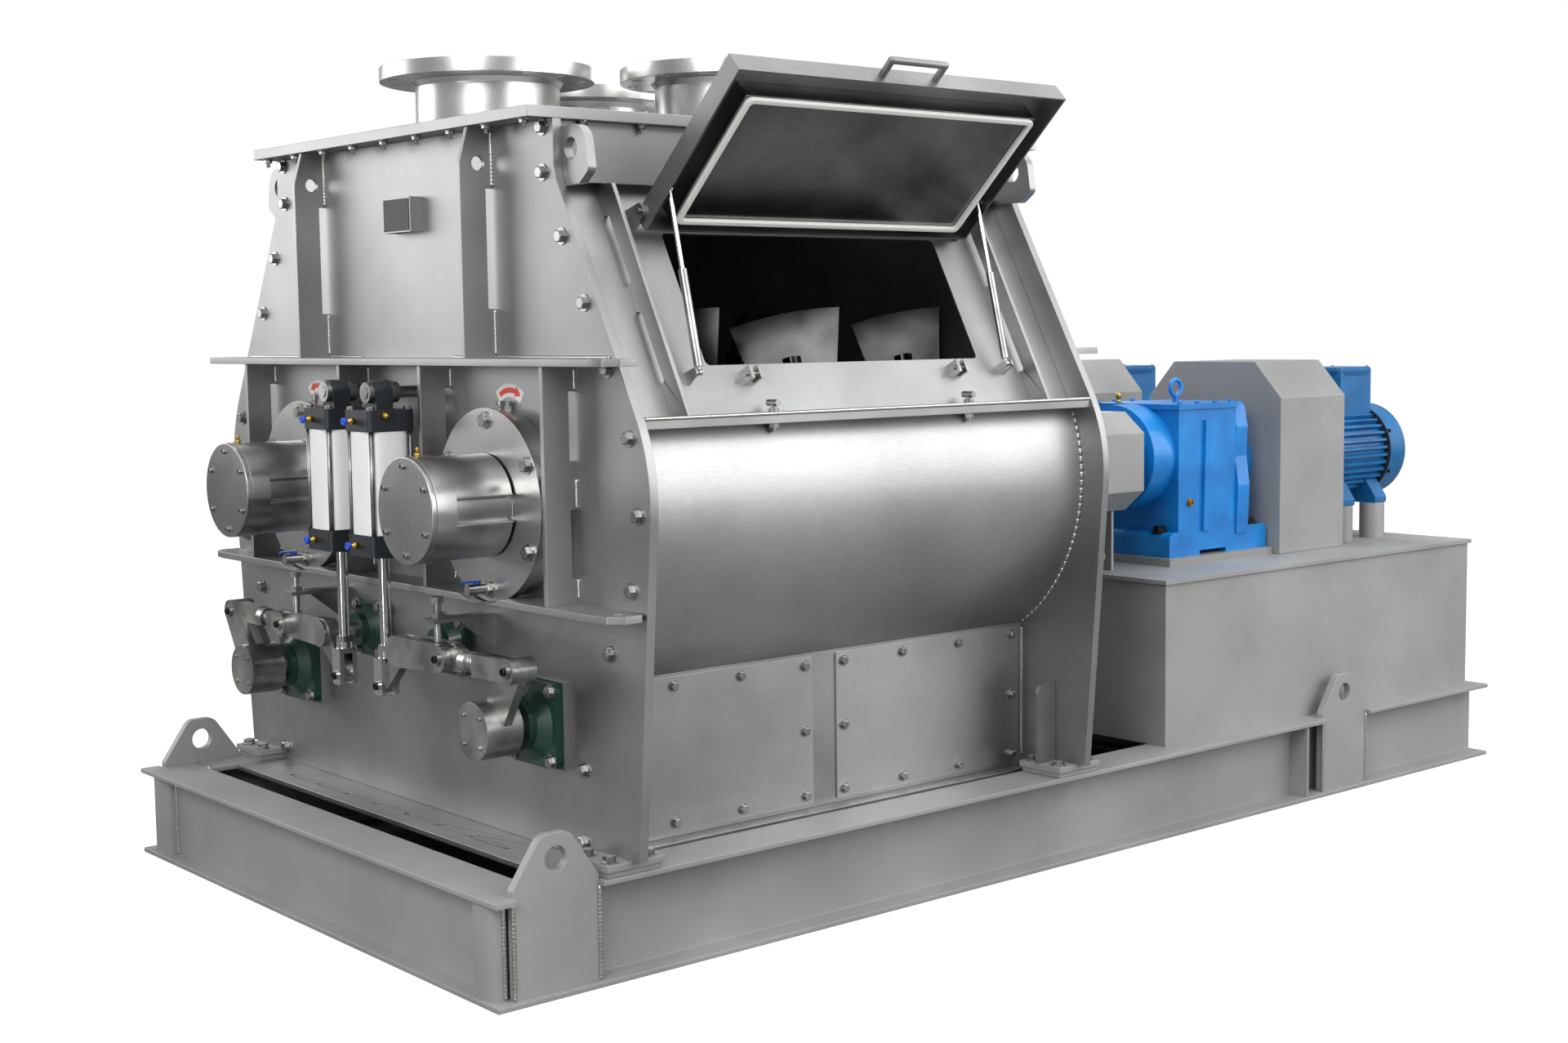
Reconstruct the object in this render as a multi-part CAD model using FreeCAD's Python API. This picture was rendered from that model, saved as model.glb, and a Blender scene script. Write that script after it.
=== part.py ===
"""Twin-shaft fluidized zone mixer on a welded skid, in millimetres.

The origin is the middle of the skid's underside. X runs along the rotor shafts: the discharge
linkage is at -X and the drives are at +X. The hatch is on the -Y side and Z is up.
The hatch lid stands open and the discharge doors are closed.
"""
import FreeCAD, Part
import math
import os

V = FreeCAD.Vector
ABOUT_X = V(1, 0, 0)

# Skid: H beams, lifting lugs and the feet of the mixer
skid_length = 3397.0
skid_half_width = 820.0
skid_height = 210.0
beam_flange_width = 125.0
beam_flange_thickness = 11.0
beam_web_thickness = 7.0
end_web_inset = 38.5
lug_width = 198.0
lug_thickness = 20.0
lug_recess = 17.0
lug_shoulder_height = 222.0
lug_hole_height = 269.0
lug_hole_radius = 25.0
lug_eye_radius = 51.0
front_lug_inset = 146.5
back_lug_inset = 690.5
stiffener_offset = 185.0
stiffener_thickness = 8.0
middle_beam_gap = 255.5
middle_beam_height = 185.0
drive_beam_inset = 13.0
packing_thickness = 12.0
foot_thickness = 14.0
foot_length = 140.0
foot_width = 130.0

# Mixer body: end plates, walls and cover
body_place = 970.35
body_length = 1312.9
plate_thickness = 20.0
shoulder_drop = 106.0
top_half_width = 600.0
shoulder_rise = 16.0
corner_half_width = 909.3
corner_rise = 98.5
corner_radius = 380.0
foot_half_width = 844.0
belly_half_width = 680.0
cover_thickness = 23.1
cover_overhang_front = 58.6
cover_overhang_back = 77.0
upper_wall_half_width = 574.0
opening_top_margin = 98.0
sheet_thickness = 8.0
panel_lean = 0.506738
panel_top_half_width = 541.8925
opening_top_rise = 370.0
opening_half_length = 390.0
opening_drop = 308.0
panel_thickness = 6.0
ledge_rise = 184.0
ledge_thickness = 20.0
ledge_inset = 2.8643
panel_fin_offset = 515.0
panel_fin_thickness = 10.0
lower_wall_half_width = 640.0
lower_wall_thickness = 6.0
discharge_flange_thickness = 12.0
discharge_flange_reach = 122.4
discharge_hole_pitch = 137.2
discharge_hole_radius = 7.0
discharge_hole_inset = 50.0
access_panel_length = 585.0
access_panel_gap = 70.0
access_panel_rise = 12.0
access_panel_drop = 365.0
access_panel_thickness = 4.0
access_hole_margin = 45.0
drive_rib_height = 209.0
drive_rib_length = 74.0

# Stiffeners of the end plates
flange_depth = 82.0
flange_thickness = 15.0
upper_flange_rise = 117.0
lower_flange_drop = 187.0
flange_tab_half_width = 880.0
flange_tab_length = 62.0
flange_tab_hole_radius = 12.0
fin_depth = 76.0
fin_top_depth = 55.0
fin_thickness = 12.0
upper_fin_offset = 365.0
lower_fin_offsets = (180.0, 650.0)
slot_width = 15.0
fin_hole_radius = 15.0
fin_hole_drop = 74.0

# Nozzles, ears and nameplate on the upper part
inlet_pipe_radius = 162.0
inlet_pipe_wall = 6.0
inlet_flange_radius = 241.3
inlet_flange_thickness = 31.8
inlet_rise = 172.0
inlet_bolt_circle_radius = 215.9
inlet_bolt_hole_radius = 12.7
inlet_bolt_count = 12
front_inlet_x = -1156.0
back_inlet_x = -700.0
back_inlet_offset = 290.0
ear_hole_offset = 632.0
ear_hole_drop = 61.0
ear_hole_radius = 22.0
ear_eye_radius = 46.0
ear_depth = 131.0
nameplate_width = 115.0
nameplate_height = 76.0
nameplate_drop = 200.0
nameplate_left = -84.0
nameplate_standoff = 30.0

# Rotors
rotor_offset = 410.0
rotor_height = 917.0
shell_inner_radius = 417.0
shell_thickness = 8.0
rotor_shaft_radius = 45.0
shaft_end_radius = 35.0
running_clearance = 0.05
paddle_tip_radius = 404.0
paddle_root_radius = 225.0
paddle_width = 280.0
paddle_root_width = 190.0
end_paddle_width = 232.0
paddle_thickness = 10.0
paddle_pitch = 180.0
paddle_row_count = 7
paddle_tilt = -45.0
rotor_lean = -15.0
arm_radius = 22.0

# Rotor bearings in front, and at the drive end
seal_ring_radius = 192.5
seal_ring_length = 33.4
housing_flange_radius = 200.0
housing_flange_length = 22.0
housing_bolt_circle_radius = 175.0
housing_tube_radius = 95.0
housing_tube_length = 135.0
housing_head_radius = 109.3
housing_head_length = 45.8
housing_cover_length = 12.0
housing_bore_radius = 62.0
guard_radius = 107.0
guard_sheet = 2.0
valve_body_radius = 11.0
valve_stub_radius = 7.0
valve_stem_radius = 4.0
valve_stem_inset = 30.0
valve_length = 54.0
drive_housing_length = 84.0

# Discharge doors
door_shaft_radius = 29.95
door_gap_angle = 14.2
door_gap = 0.5
door_edge_angle = 12.6
door_inner_angle = -41.5
door_side_gap = 2.0
door_rib_count = 5
door_rib_depth = 58.0
door_rib_thickness = 10.0
ridge_gap_angle = 0.5
hub_radius = 59.7
hub_face_reach = 174.4
hub_length = 84.0
flange_bearing_size = 175.0
flange_bearing_base = 18.0
flange_bearing_length = 55.0
flange_bearing_nose_radius = 52.0
spacer_size = 180.0
spacer_thickness = 15.0

# Linkage: bellcranks, links and their pivots, as (distance from the middle, height)
link_plane_reach = 127.4
crank_pivot_offset = 178.0
crank_pivot_drop = 320.0
crank_pin_offset = 359.0
crank_pin_drop = 316.0
lever_pin_offset = 622.0
lever_pin_drop = 311.0
clevis_pin_offset = 95.0
clevis_pin_drop = 406.0
cylinder_pin_offset = 95.0
cylinder_pin_rise = 229.0
link_plate_thickness = 20.0
layer_gap = 0.3
cheek_thickness = 18.0
crank_hub_radius = 31.0
crank_hub_length = 40.0
crank_shaft_radius = 19.95
crank_eye_radius = 29.0
clevis_eye_radius = 17.0
clevis_arm_root_radius = 25.0
pin_radius = 10.0
pin_head_radius = 14.0
pin_head_length = 5.0
link_eye_radius = 27.0
link_lever_end = 128.0
link_crank_end = 66.0
link_boss_length = 26.0
link_nut_length = 13.0
lever_root_radius = 42.0
link_rod_radius = 11.0
link_nut_radius = 17.0
crank_bearing_size = 130.0
crank_bearing_nose_radius = 38.0
stop_offset = 320.0
stop_screw_radius = 8.0
stop_screw_drop = 5.0
stop_plate_drop = 50.0
stop_plate_thickness = 8.0
stop_plate_width = 45.0

# Air cylinders
cylinder_reach = 125.4
cylinder_size = 110.0
cylinder_top_drop = 36.0
cylinder_cap_height = 46.0
barrel_bottom_drop = 304.0
barrel_radius = 53.0
barrel_bore_radius = 50.0
tie_rod_radius = 5.0
tie_rod_offset = 45.0
gland_height = 6.0
piston_rod_radius = 12.5
piston_height = 22.0
piston_start_drop = 278.0
hanger_radius = 12.5
hanger_collar_radius = 22.5
eye_half_length = 20.0
eye_radius = 26.0
clevis_rise = 75.0
clevis_shoulder_rise = 61.0
clevis_drop = 21.0
clevis_width = 42.0
clevis_throat_rise = 50.0

# Hatch lid in its closed place: lengths up and out from the top edge of the opening
lid_open_angle = 105.0
lid_half_length = 460.0
lid_above_opening = 43.0
lid_below_opening = 384.0
lid_standoff = 10.0
lid_depth = 45.0
lid_sheet = 4.0
hinge_up = 22.1
hinge_out = 45.7
hinge_pin_radius = 8.0
hinge_boss_radius = 14.0
hinge_bracket_thickness = 8.0
side_gap = 0.5
window_margin = 18.0
window_sheet = 3.0
gasket_margin = 2.0
gasket_width = 12.0
gasket_gap = 0.3
handle_radius = 8.0
handle_span = 150.0
handle_reach = 40.0

# Gas struts and clamps of the hatch
strut_offset = 440.0
strut_foot_down = 339.0
strut_foot_out = 30.4
strut_head_down = 55.6
strut_head_out = 31.0
strut_tube_radius = 9.0
strut_tube_bore = 7.5
strut_tube_length = 212.0
strut_rod_radius = 5.0
strut_eye_radius = 6.5
strut_eye_length = 9.0
strut_pin_radius = 4.0
clamp_block_offset = 297.0
clamp_block_size = 30.0
clamp_block_down = 341.0
clamp_screw_offset = 281.0
clamp_screw_inset = 42.0
clamp_screw_radius = 6.0
clamp_screw_rise = 27.0
clamp_screw_drop = 39.0

# Drive box, gearboxes, guards and motors
box_gap = 385.2
box_length = 1373.1
box_half_width = 752.8
box_drop = 284.7
box_sheet = 6.0
box_top_thickness = 11.0
box_lip = 8.0
base_inset = 227.5
base_length = 443.0
base_half_width = 170.0
base_thickness = 20.0
gear_foot_inset = 23.0
gear_foot_length = 416.0
gear_foot_height = 66.0
gear_half_width = 150.0
gear_body_inset = 59.0
gear_body_length = 242.0
gear_body_rise = 127.0
gear_lid_thickness = 14.0
gear_bell_length = 50.0
gear_hub_radius = 140.0
gear_hub_length = 88.0
gear_nose_radius = 108.0
gear_nose_length = 72.0
gear_bore_depth = 90.0
eyebolt_height = 38.0
eyebolt_radius = 22.0
eyebolt_wire = 6.0
guard_half_width = 177.0
guard_half_height = 128.0
guard_chamfer_width = 63.0
guard_chamfer_height = 53.0
guard_gap = 175.7
guard_length = 324.0
guard_sheet_thickness = 3.0
coupling_radius = 92.0
coupling_inset = 146.0
coupling_length = 160.0
belt_guard_gap = 95.0
belt_guard_length = 298.0
belt_guard_outer = 601.3
belt_guard_inner = 139.0
belt_guard_rise = 246.5
belt_chamfer_width = 89.0
belt_chamfer_height = 99.0
motor_drop = 29.0
motor_body_radius = 118.0
motor_fin_radius = 131.0
motor_fin_count = 36
motor_length = 315.0
motor_shield_radius = 140.0
motor_shield_length = 26.0
cowl_radius = 138.0
cowl_length = 90.0
cowl_round = 16.0
terminal_inset = 158.0
terminal_length = 152.0
terminal_half_width = 68.0
terminal_rise = 248.0
post_radius = 36.0
post_offset = 101.0
motor_foot_drop = 152.0
post_inset = 115.0
post_spacing = 160.0
motor_foot_thickness = 18.0

# Levels and faces that follow from the sizes above
ledge_top = rotor_height + ledge_rise
corner_height = rotor_height + corner_rise
lower_flange_top = rotor_height - lower_flange_drop
upper_flange_top = ledge_top + upper_flange_rise
opening_top_height = ledge_top + opening_top_rise
upper_wall_bottom = opening_top_height + opening_top_margin
shoulder_height = upper_wall_bottom + shoulder_rise
plate_top = shoulder_height + shoulder_drop
inlet_flange_top = plate_top + inlet_rise
fin_hole_height = plate_top - fin_hole_drop
ear_hole_height = plate_top - ear_hole_drop
ear_bottom = plate_top - ear_depth
nameplate_bottom = plate_top - nameplate_drop
access_panel_top = rotor_height - access_panel_drop
access_panel_bottom = skid_height + access_panel_rise
stop_plate_top = lower_flange_top - stop_plate_drop
stop_screw_top = lower_flange_top - stop_screw_drop
clamp_screw_top = ledge_top + clamp_screw_rise
clamp_screw_bottom = ledge_top - clamp_screw_drop
box_top = rotor_height - box_drop
gear_body_top = rotor_height + gear_body_rise
belt_guard_top = rotor_height + belt_guard_rise
motor_height = rotor_height - motor_drop
terminal_top = motor_height + terminal_rise
post_top = motor_height - motor_foot_drop
crank_pivot = (crank_pivot_offset, rotor_height - crank_pivot_drop)
crank_pin = (crank_pin_offset, rotor_height - crank_pin_drop)
lever_pin = (lever_pin_offset, rotor_height - lever_pin_drop)
clevis_pin = (clevis_pin_offset, rotor_height - clevis_pin_drop)
cylinder_pin = (cylinder_pin_offset, rotor_height + cylinder_pin_rise)
cylinder_top = cylinder_pin[1] - cylinder_top_drop
barrel_bottom = cylinder_pin[1] - barrel_bottom_drop
piston_start = cylinder_pin[1] - piston_start_drop
clevis_top = clevis_pin[1] + clevis_rise
clevis_shoulder = clevis_pin[1] + clevis_shoulder_rise
clevis_throat_top = clevis_pin[1] + clevis_throat_rise
clevis_bottom = clevis_pin[1] - clevis_drop
skid_end = skid_length / 2
body_middle = body_place - skid_end
front_lug_x = front_lug_inset - skid_end
back_lug_x = skid_end - back_lug_inset
lug_face = skid_half_width - lug_recess
side_web_y = skid_half_width - beam_flange_width / 2
front_outer = body_middle - body_length / 2
back_outer = body_middle + body_length / 2
link_plane_x = front_outer - link_plane_reach
hub_face_x = front_outer - hub_face_reach
cylinder_x = front_outer - cylinder_reach
box_front = back_outer + box_gap
box_back = box_front + box_length
middle_beam_x = box_front - middle_beam_gap
base_front = box_front + base_inset
base_back = base_front + base_length
gear_foot_front = base_front + gear_foot_inset
gear_foot_back = gear_foot_front + gear_foot_length
gear_body_front = base_front + gear_body_inset
gear_body_back = gear_body_front + gear_body_length
gear_bell_back = gear_body_back + gear_bell_length
gear_hub_front = gear_body_front - gear_hub_length
gear_nose_front = gear_hub_front - gear_nose_length
guard_front = back_outer + guard_gap
guard_back = guard_front + guard_length
coupling_front = guard_front + coupling_inset
coupling_back = coupling_front + coupling_length
belt_guard_front = gear_bell_back + belt_guard_gap
belt_guard_back = belt_guard_front + belt_guard_length
drive_beam_x = belt_guard_front + drive_beam_inset
motor_body_end = belt_guard_back + motor_length
cowl_end = motor_body_end + cowl_length
terminal_front = belt_guard_back + terminal_inset
terminal_back = terminal_front + terminal_length
post_front_x = belt_guard_back + post_inset
post_back_x = post_front_x + post_spacing
front_inner = front_outer + plate_thickness
back_inner = back_outer - plate_thickness
foot_top = skid_height + packing_thickness + foot_thickness
discharge_top = skid_height + 2.0
shell_outer_radius = shell_inner_radius + shell_thickness
plate_slope = (corner_half_width - top_half_width) / (shoulder_height - corner_height)
slope_angle = math.degrees(math.atan(plate_slope)) - panel_lean
slope = math.tan(math.radians(slope_angle))
opening_top_half_width = panel_top_half_width + slope * opening_top_margin
ledge_bottom = ledge_top - ledge_thickness
ledge_half_width = top_half_width + plate_slope * (shoulder_height - ledge_top) - ledge_inset
clamp_screw_half_width = ledge_half_width - clamp_screw_inset
lower_wall_inner = lower_wall_half_width - lower_wall_thickness
door_reach = shell_outer_radius + door_gap + door_shaft_radius
door_y = rotor_offset + door_reach * math.sin(math.radians(door_gap_angle))
door_z = rotor_height - door_reach * math.cos(math.radians(door_gap_angle))
opening_point = V(body_middle, -opening_top_half_width, opening_top_height)
slope_turn = 90.0 - slope_angle
base_top = box_top + base_thickness
lid_outer_face = lid_standoff + lid_depth
housing_end = front_outer - seal_ring_length - housing_flange_length
housing_shoulder = housing_end - housing_tube_length
cover_face = housing_shoulder - housing_head_length - housing_cover_length


def box(x_low, x_high, y_low, y_high, z_low, z_high):
    """A box between two corners."""
    return Part.makeBox(x_high - x_low, y_high - y_low, z_high - z_low, V(x_low, y_low, z_low))


def bar_x(y, z, radius, x_low, x_high):
    """A round bar along X."""
    return Part.makeCylinder(radius, x_high - x_low, V(x_low, y, z), V(1, 0, 0))


def bar_y(x, z, radius, y_low, y_high):
    """A round bar along Y."""
    return Part.makeCylinder(radius, y_high - y_low, V(x, y_low, z), V(0, 1, 0))


def bar_z(x, y, radius, z_low, z_high):
    """A round bar along Z."""
    return Part.makeCylinder(radius, z_high - z_low, V(x, y, z_low), V(0, 0, 1))


def ring_x(y, z, outer, inner, x_low, x_high):
    """A round ring along X."""
    return bar_x(y, z, outer, x_low, x_high).cut(bar_x(y, z, inner, x_low, x_high))


def face_of(corners, place):
    """A flat face through (a, b) or (a, b, radius) corners, each radius as a tangent arc."""
    ends = []
    count = len(corners)
    for index in range(count):
        corner = corners[index]
        here = V(corner[0], corner[1], 0)
        if len(corner) == 2:
            ends.append((here, None, here))
            continue
        before = corners[index - 1]
        after = corners[(index + 1) % count]
        back = V(before[0], before[1], 0).sub(here).normalize()
        on = V(after[0], after[1], 0).sub(here).normalize()
        half = back.getAngle(on) / 2
        reach = corner[2] / math.tan(half)
        centre = here.add(back.add(on).normalize().multiply(corner[2] / math.sin(half)))
        middle = centre.add(here.sub(centre).normalize().multiply(corner[2]))
        ends.append((here.add(back * reach), middle, here.add(on * reach)))
    edges = []
    for index in range(count):
        start, middle, end = ends[index]
        following = ends[(index + 1) % count][0]
        if middle is not None:
            edges.append(Part.Arc(place(start), place(middle), place(end)).toShape())
        if end.distanceToPoint(following) > 1e-6:
            edges.append(Part.LineSegment(place(end), place(following)).toShape())
    return Part.Face(Part.Wire(edges))


def plate_x(corners, x_low, x_high):
    """A plate normal to X from (y, z) corners."""
    return face_of(corners, lambda p: V(x_low, p.x, p.y)).extrude(V(x_high - x_low, 0, 0))


def plate_y(corners, y_low, y_high):
    """A plate normal to Y from (x, z) corners."""
    return face_of(corners, lambda p: V(p.x, y_low, p.y)).extrude(V(0, y_high - y_low, 0))


def plate_z(corners, z_low, z_high):
    """A plate normal to Z from (x, y) corners."""
    return face_of(corners, lambda p: V(p.x, p.y, z_low)).extrude(V(0, 0, z_high - z_low))


def other_side(shape):
    """The same shape on the other side of the X-Z plane."""
    return shape.mirror(V(0, 0, 0), V(0, 1, 0))


def both_sides(shapes):
    """Shapes and their mirror images across the X-Z plane."""
    return list(shapes) + [other_side(shape) for shape in shapes]


def on_slope(shape):
    """Put a shape built as (along, up, out) onto the sloping hatch panel."""
    turned = shape.copy()
    turned.Placement = FreeCAD.Placement(opening_point, FreeCAD.Rotation(ABOUT_X, slope_turn))
    return turned


def slope_point(up, out):
    """The (y, z) of a point on the sloping hatch panel's own axes."""
    turn = math.radians(slope_turn)
    y = opening_point.y + up * math.cos(turn) - out * math.sin(turn)
    z = opening_point.z + up * math.sin(turn) + out * math.cos(turn)
    return y, z


def opened(shape):
    """Swing a closed lid piece up to its open place."""
    turned = shape.copy()
    hinge_y, hinge_z = slope_point(hinge_up, hinge_out)
    turned.rotate(V(0, hinge_y, hinge_z), ABOUT_X, -lid_open_angle)
    return turned


def opened_point(up, out):
    """The (y, z) of a lid point when the lid stands open."""
    hinge_y, hinge_z = slope_point(hinge_up, hinge_out)
    y, z = slope_point(up, out)
    turn = math.radians(-lid_open_angle)
    away_y = y - hinge_y
    away_z = z - hinge_z
    new_y = hinge_y + away_y * math.cos(turn) - away_z * math.sin(turn)
    new_z = hinge_z + away_y * math.sin(turn) + away_z * math.cos(turn)
    return new_y, new_z


def save(node, solids):
    """Write one node's solids as one file."""
    Part.makeCompound(solids).exportStep("parts/" + node + ".step")


def lug_notch(x_centre):
    """The space that a lifting lug takes out of the beam flanges above it."""
    half = lug_width / 2
    return box(x_centre - half, x_centre + half, lug_face - lug_thickness, skid_half_width + 1,
               beam_flange_thickness + 1, skid_height + 1)


def side_beam():
    """One side beam: two flanges and a web that runs on to the front end beam's web."""
    inner = skid_half_width - beam_flange_width
    start = -skid_end + beam_flange_width
    low = box(start, skid_end, inner, skid_half_width, 0, beam_flange_thickness)
    high = box(start, skid_end, inner, skid_half_width, skid_height - beam_flange_thickness, skid_height)
    web_start = -skid_end + end_web_inset + beam_web_thickness
    web = box(web_start, skid_end, side_web_y - beam_web_thickness / 2, side_web_y + beam_web_thickness / 2,
              beam_flange_thickness, skid_height - beam_flange_thickness)
    beam = low.fuse(web).fuse(high)
    for x_centre in (front_lug_x, back_lug_x):
        beam = beam.cut(lug_notch(x_centre))
    return beam


def cross_beam(x_low, web_x, half_width, web_half_width, height):
    """An H beam across the skid."""
    x_high = x_low + beam_flange_width
    low = box(x_low, x_high, -half_width, half_width, 0, beam_flange_thickness)
    high = box(x_low, x_high, -half_width, half_width, height - beam_flange_thickness, height)
    web = box(web_x, web_x + beam_web_thickness, -web_half_width, web_half_width,
              beam_flange_thickness, height - beam_flange_thickness)
    return low.fuse(web).fuse(high)


def cross_beams():
    """The front beam over the full width, and three beams between the side beams."""
    inner = skid_half_width - beam_flange_width
    to_web = side_web_y - beam_web_thickness / 2
    front = cross_beam(-skid_end, -skid_end + end_web_inset, skid_half_width, lug_face - lug_thickness,
                       skid_height)
    for notch in both_sides([lug_notch(front_lug_x)]):
        front = front.cut(notch)
    beams = [front]
    back_web = skid_end - end_web_inset - beam_web_thickness
    beams.append(cross_beam(skid_end - beam_flange_width, back_web, inner, to_web, skid_height))
    for x_centre, height in ((middle_beam_x, middle_beam_height), (drive_beam_x, skid_height)):
        web_x = x_centre - beam_web_thickness / 2
        beams.append(cross_beam(x_centre - beam_flange_width / 2, web_x, inner, to_web, height))
    return beams


def lifting_lug(x_centre):
    """One lug plate between the flanges, with a round eye above the beam."""
    half = lug_width / 2
    spread = lug_eye_radius * 0.62
    outline = [(x_centre - half, beam_flange_thickness), (x_centre + half, beam_flange_thickness),
               (x_centre + half, lug_shoulder_height),
               (x_centre + spread, lug_hole_height + lug_eye_radius, spread * 0.95),
               (x_centre - spread, lug_hole_height + lug_eye_radius, spread * 0.95),
               (x_centre - half, lug_shoulder_height)]
    lug = plate_y(outline, lug_face - lug_thickness, lug_face)
    return lug.cut(bar_y(x_centre, lug_hole_height, lug_hole_radius, lug_face - lug_thickness, lug_face))


def lifting_lugs():
    """Four lugs, each with a web stiffener beside it inside the beam."""
    pieces = []
    web_face = side_web_y + beam_web_thickness / 2
    for x_centre in (front_lug_x, back_lug_x):
        pieces.append(lifting_lug(x_centre))
    stiffener_x = back_lug_x - stiffener_offset
    pieces.append(box(stiffener_x, stiffener_x + stiffener_thickness, web_face, skid_half_width - 4,
                      beam_flange_thickness, skid_height - beam_flange_thickness))
    for x_centre in (front_lug_x, back_lug_x):
        pieces.append(box(x_centre, x_centre + stiffener_thickness, web_face, lug_face - lug_thickness,
                          beam_flange_thickness, skid_height - beam_flange_thickness))
    return both_sides(pieces)


def mounting_feet():
    """Packing and foot plates under both end plates."""
    pieces = []
    inner = skid_half_width - foot_width
    for centre in (front_outer + plate_thickness / 2, back_outer - plate_thickness / 2):
        x_low = centre - foot_length / 2
        x_high = centre + foot_length / 2
        middle = skid_height + packing_thickness
        pieces.append(box(x_low + 5, x_high - 5, inner + 5, skid_half_width - 5, skid_height, middle))
        pieces.append(box(x_low, x_high, inner, skid_half_width, middle, foot_top))
    return both_sides(pieces)


def end_plate(x_low, x_high):
    """An end plate with its shoulders, its belly and its shaft holes."""
    right = [(top_half_width, plate_top), (top_half_width, shoulder_height, 60.0),
             (corner_half_width, corner_height, corner_radius), (foot_half_width, foot_top),
             (belly_half_width, foot_top), (belly_half_width, discharge_top)]
    left = [(-corner[0],) + tuple(corner[1:]) for corner in reversed(right)]
    plate = plate_x(right + left, x_low, x_high)
    for side in (-1, 1):
        plate = plate.cut(bar_x(side * rotor_offset, rotor_height, rotor_shaft_radius + 12, x_low, x_high))
        plate = plate.cut(bar_x(side * door_y, door_z, door_shaft_radius + 2, x_low, x_high))
    return plate


def horizontal_flange(x_low, x_high, top, half_width, tabs):
    """A horizontal stiffening flange, with chamfered and drilled end tabs where it has them."""
    outline = [(x_low, -half_width), (x_high, -half_width), (x_high, half_width), (x_low, half_width)]
    flange = plate_z(outline, top - flange_thickness, top)
    if not tabs:
        return flange
    chamfer = flange_tab_length * 0.4
    for side in (-1, 1):
        tab = [(x_low, side * half_width), (x_low + 8, side * (half_width + flange_tab_length - chamfer)),
               (x_low + 8 + chamfer, side * (half_width + flange_tab_length)),
               (x_high - 8, side * (half_width + flange_tab_length)), (x_high, side * half_width)]
        flange = flange.fuse(plate_z(tab, top - flange_thickness, top))
        flange = flange.cut(bar_z((x_low + x_high) / 2, side * (half_width + flange_tab_length * 0.5),
                                  flange_tab_hole_radius, top - flange_thickness, top))
    return flange


def plate_half_width(z):
    """Half the width of the end plates on their slope."""
    return top_half_width + plate_slope * (shoulder_height - z)


def upper_fin(y, plate_face, outward):
    """A fin above the upper flange, its top corner cut back, with one long slot and a hole."""
    taper_start = fin_hole_height
    outline = [(plate_face, upper_flange_top), (plate_face + outward * fin_depth, upper_flange_top),
               (plate_face + outward * fin_depth, taper_start, 20.0),
               (plate_face + outward * fin_top_depth, plate_top), (plate_face, plate_top)]
    fin = plate_y(outline, y - fin_thickness / 2, y + fin_thickness / 2)
    slot_low = upper_flange_top + 102.0
    slot_high = fin_hole_height - 50.0
    slot = fin_slot(y, plate_face, outward, slot_low, slot_high)
    hole = bar_y(plate_face + outward * (fin_depth * 0.42), fin_hole_height, fin_hole_radius,
                 y - fin_thickness, y + fin_thickness)
    return fin.cut(slot).cut(hole)


def fin_slot(y, plate_face, outward, z_low, z_high):
    """The long slot between two weld runs of a fin."""
    edges = sorted((plate_face, plate_face + outward * slot_width))
    return box(edges[0], edges[1], y - fin_thickness, y + fin_thickness, z_low, z_high)


def lower_fin(y, plate_face, outward):
    """A fin between the two flanges, with two long slots."""
    low = lower_flange_top
    high = upper_flange_top - flange_thickness
    edges = sorted((plate_face, plate_face + outward * fin_depth))
    fin = box(edges[0], edges[1], y - fin_thickness / 2, y + fin_thickness / 2, low, high)
    third = (high - low) / 3
    fin = fin.cut(fin_slot(y, plate_face, outward, low + 50, low + third + 30))
    return fin.cut(fin_slot(y, plate_face, outward, high - third - 30, high - 50))


def end_plate_stiffeners():
    """Flanges and fins on the outsides of both end plates."""
    front_edge = front_outer - flange_depth
    back_edge = back_outer + flange_depth
    tab_root = flange_tab_half_width - flange_tab_length
    upper_half = plate_half_width(upper_flange_top)
    pieces = [horizontal_flange(front_edge, front_outer, upper_flange_top, tab_root, True),
              horizontal_flange(back_outer, back_edge, upper_flange_top, upper_half - 6, False)]
    lower_flanges = [horizontal_flange(front_edge, front_outer, lower_flange_top, tab_root, True),
                     horizontal_flange(back_outer, back_edge, lower_flange_top, tab_root, False)]
    for flange in lower_flanges:
        for side in (-1, 1):
            flange = flange.cut(bar_x(side * rotor_offset, rotor_height, housing_flange_radius + 3,
                                      front_edge, back_edge))
        pieces.append(flange)
    for plate_face, outward in ((front_outer, -1), (back_outer, 1)):
        for side in (-1, 1):
            pieces.append(upper_fin(side * upper_fin_offset, plate_face, outward))
            for offset in lower_fin_offsets:
                pieces.append(lower_fin(side * offset, plate_face, outward))
    return pieces


def rotor_sector(radius, low_angle, high_angle, x_low, x_high):
    """A pie piece about the +Y rotor axis; angles count outward from straight down."""
    reach = radius * 1.6
    middle_angle = (low_angle + high_angle) / 2
    corners = [(rotor_offset, rotor_height)]
    for angle in (low_angle, middle_angle, high_angle):
        turn = math.radians(angle)
        corners.append((rotor_offset + reach * math.sin(turn), rotor_height - reach * math.cos(turn)))
    return plate_x(corners, x_low, x_high)


def trough_arc(low_angle, high_angle, inner, outer, x_low, x_high):
    """A curved wall about the +Y rotor axis between two angles."""
    wall = ring_x(rotor_offset, rotor_height, outer, inner, x_low, x_high)
    return wall.common(rotor_sector(outer, low_angle, high_angle, x_low, x_high))


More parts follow.
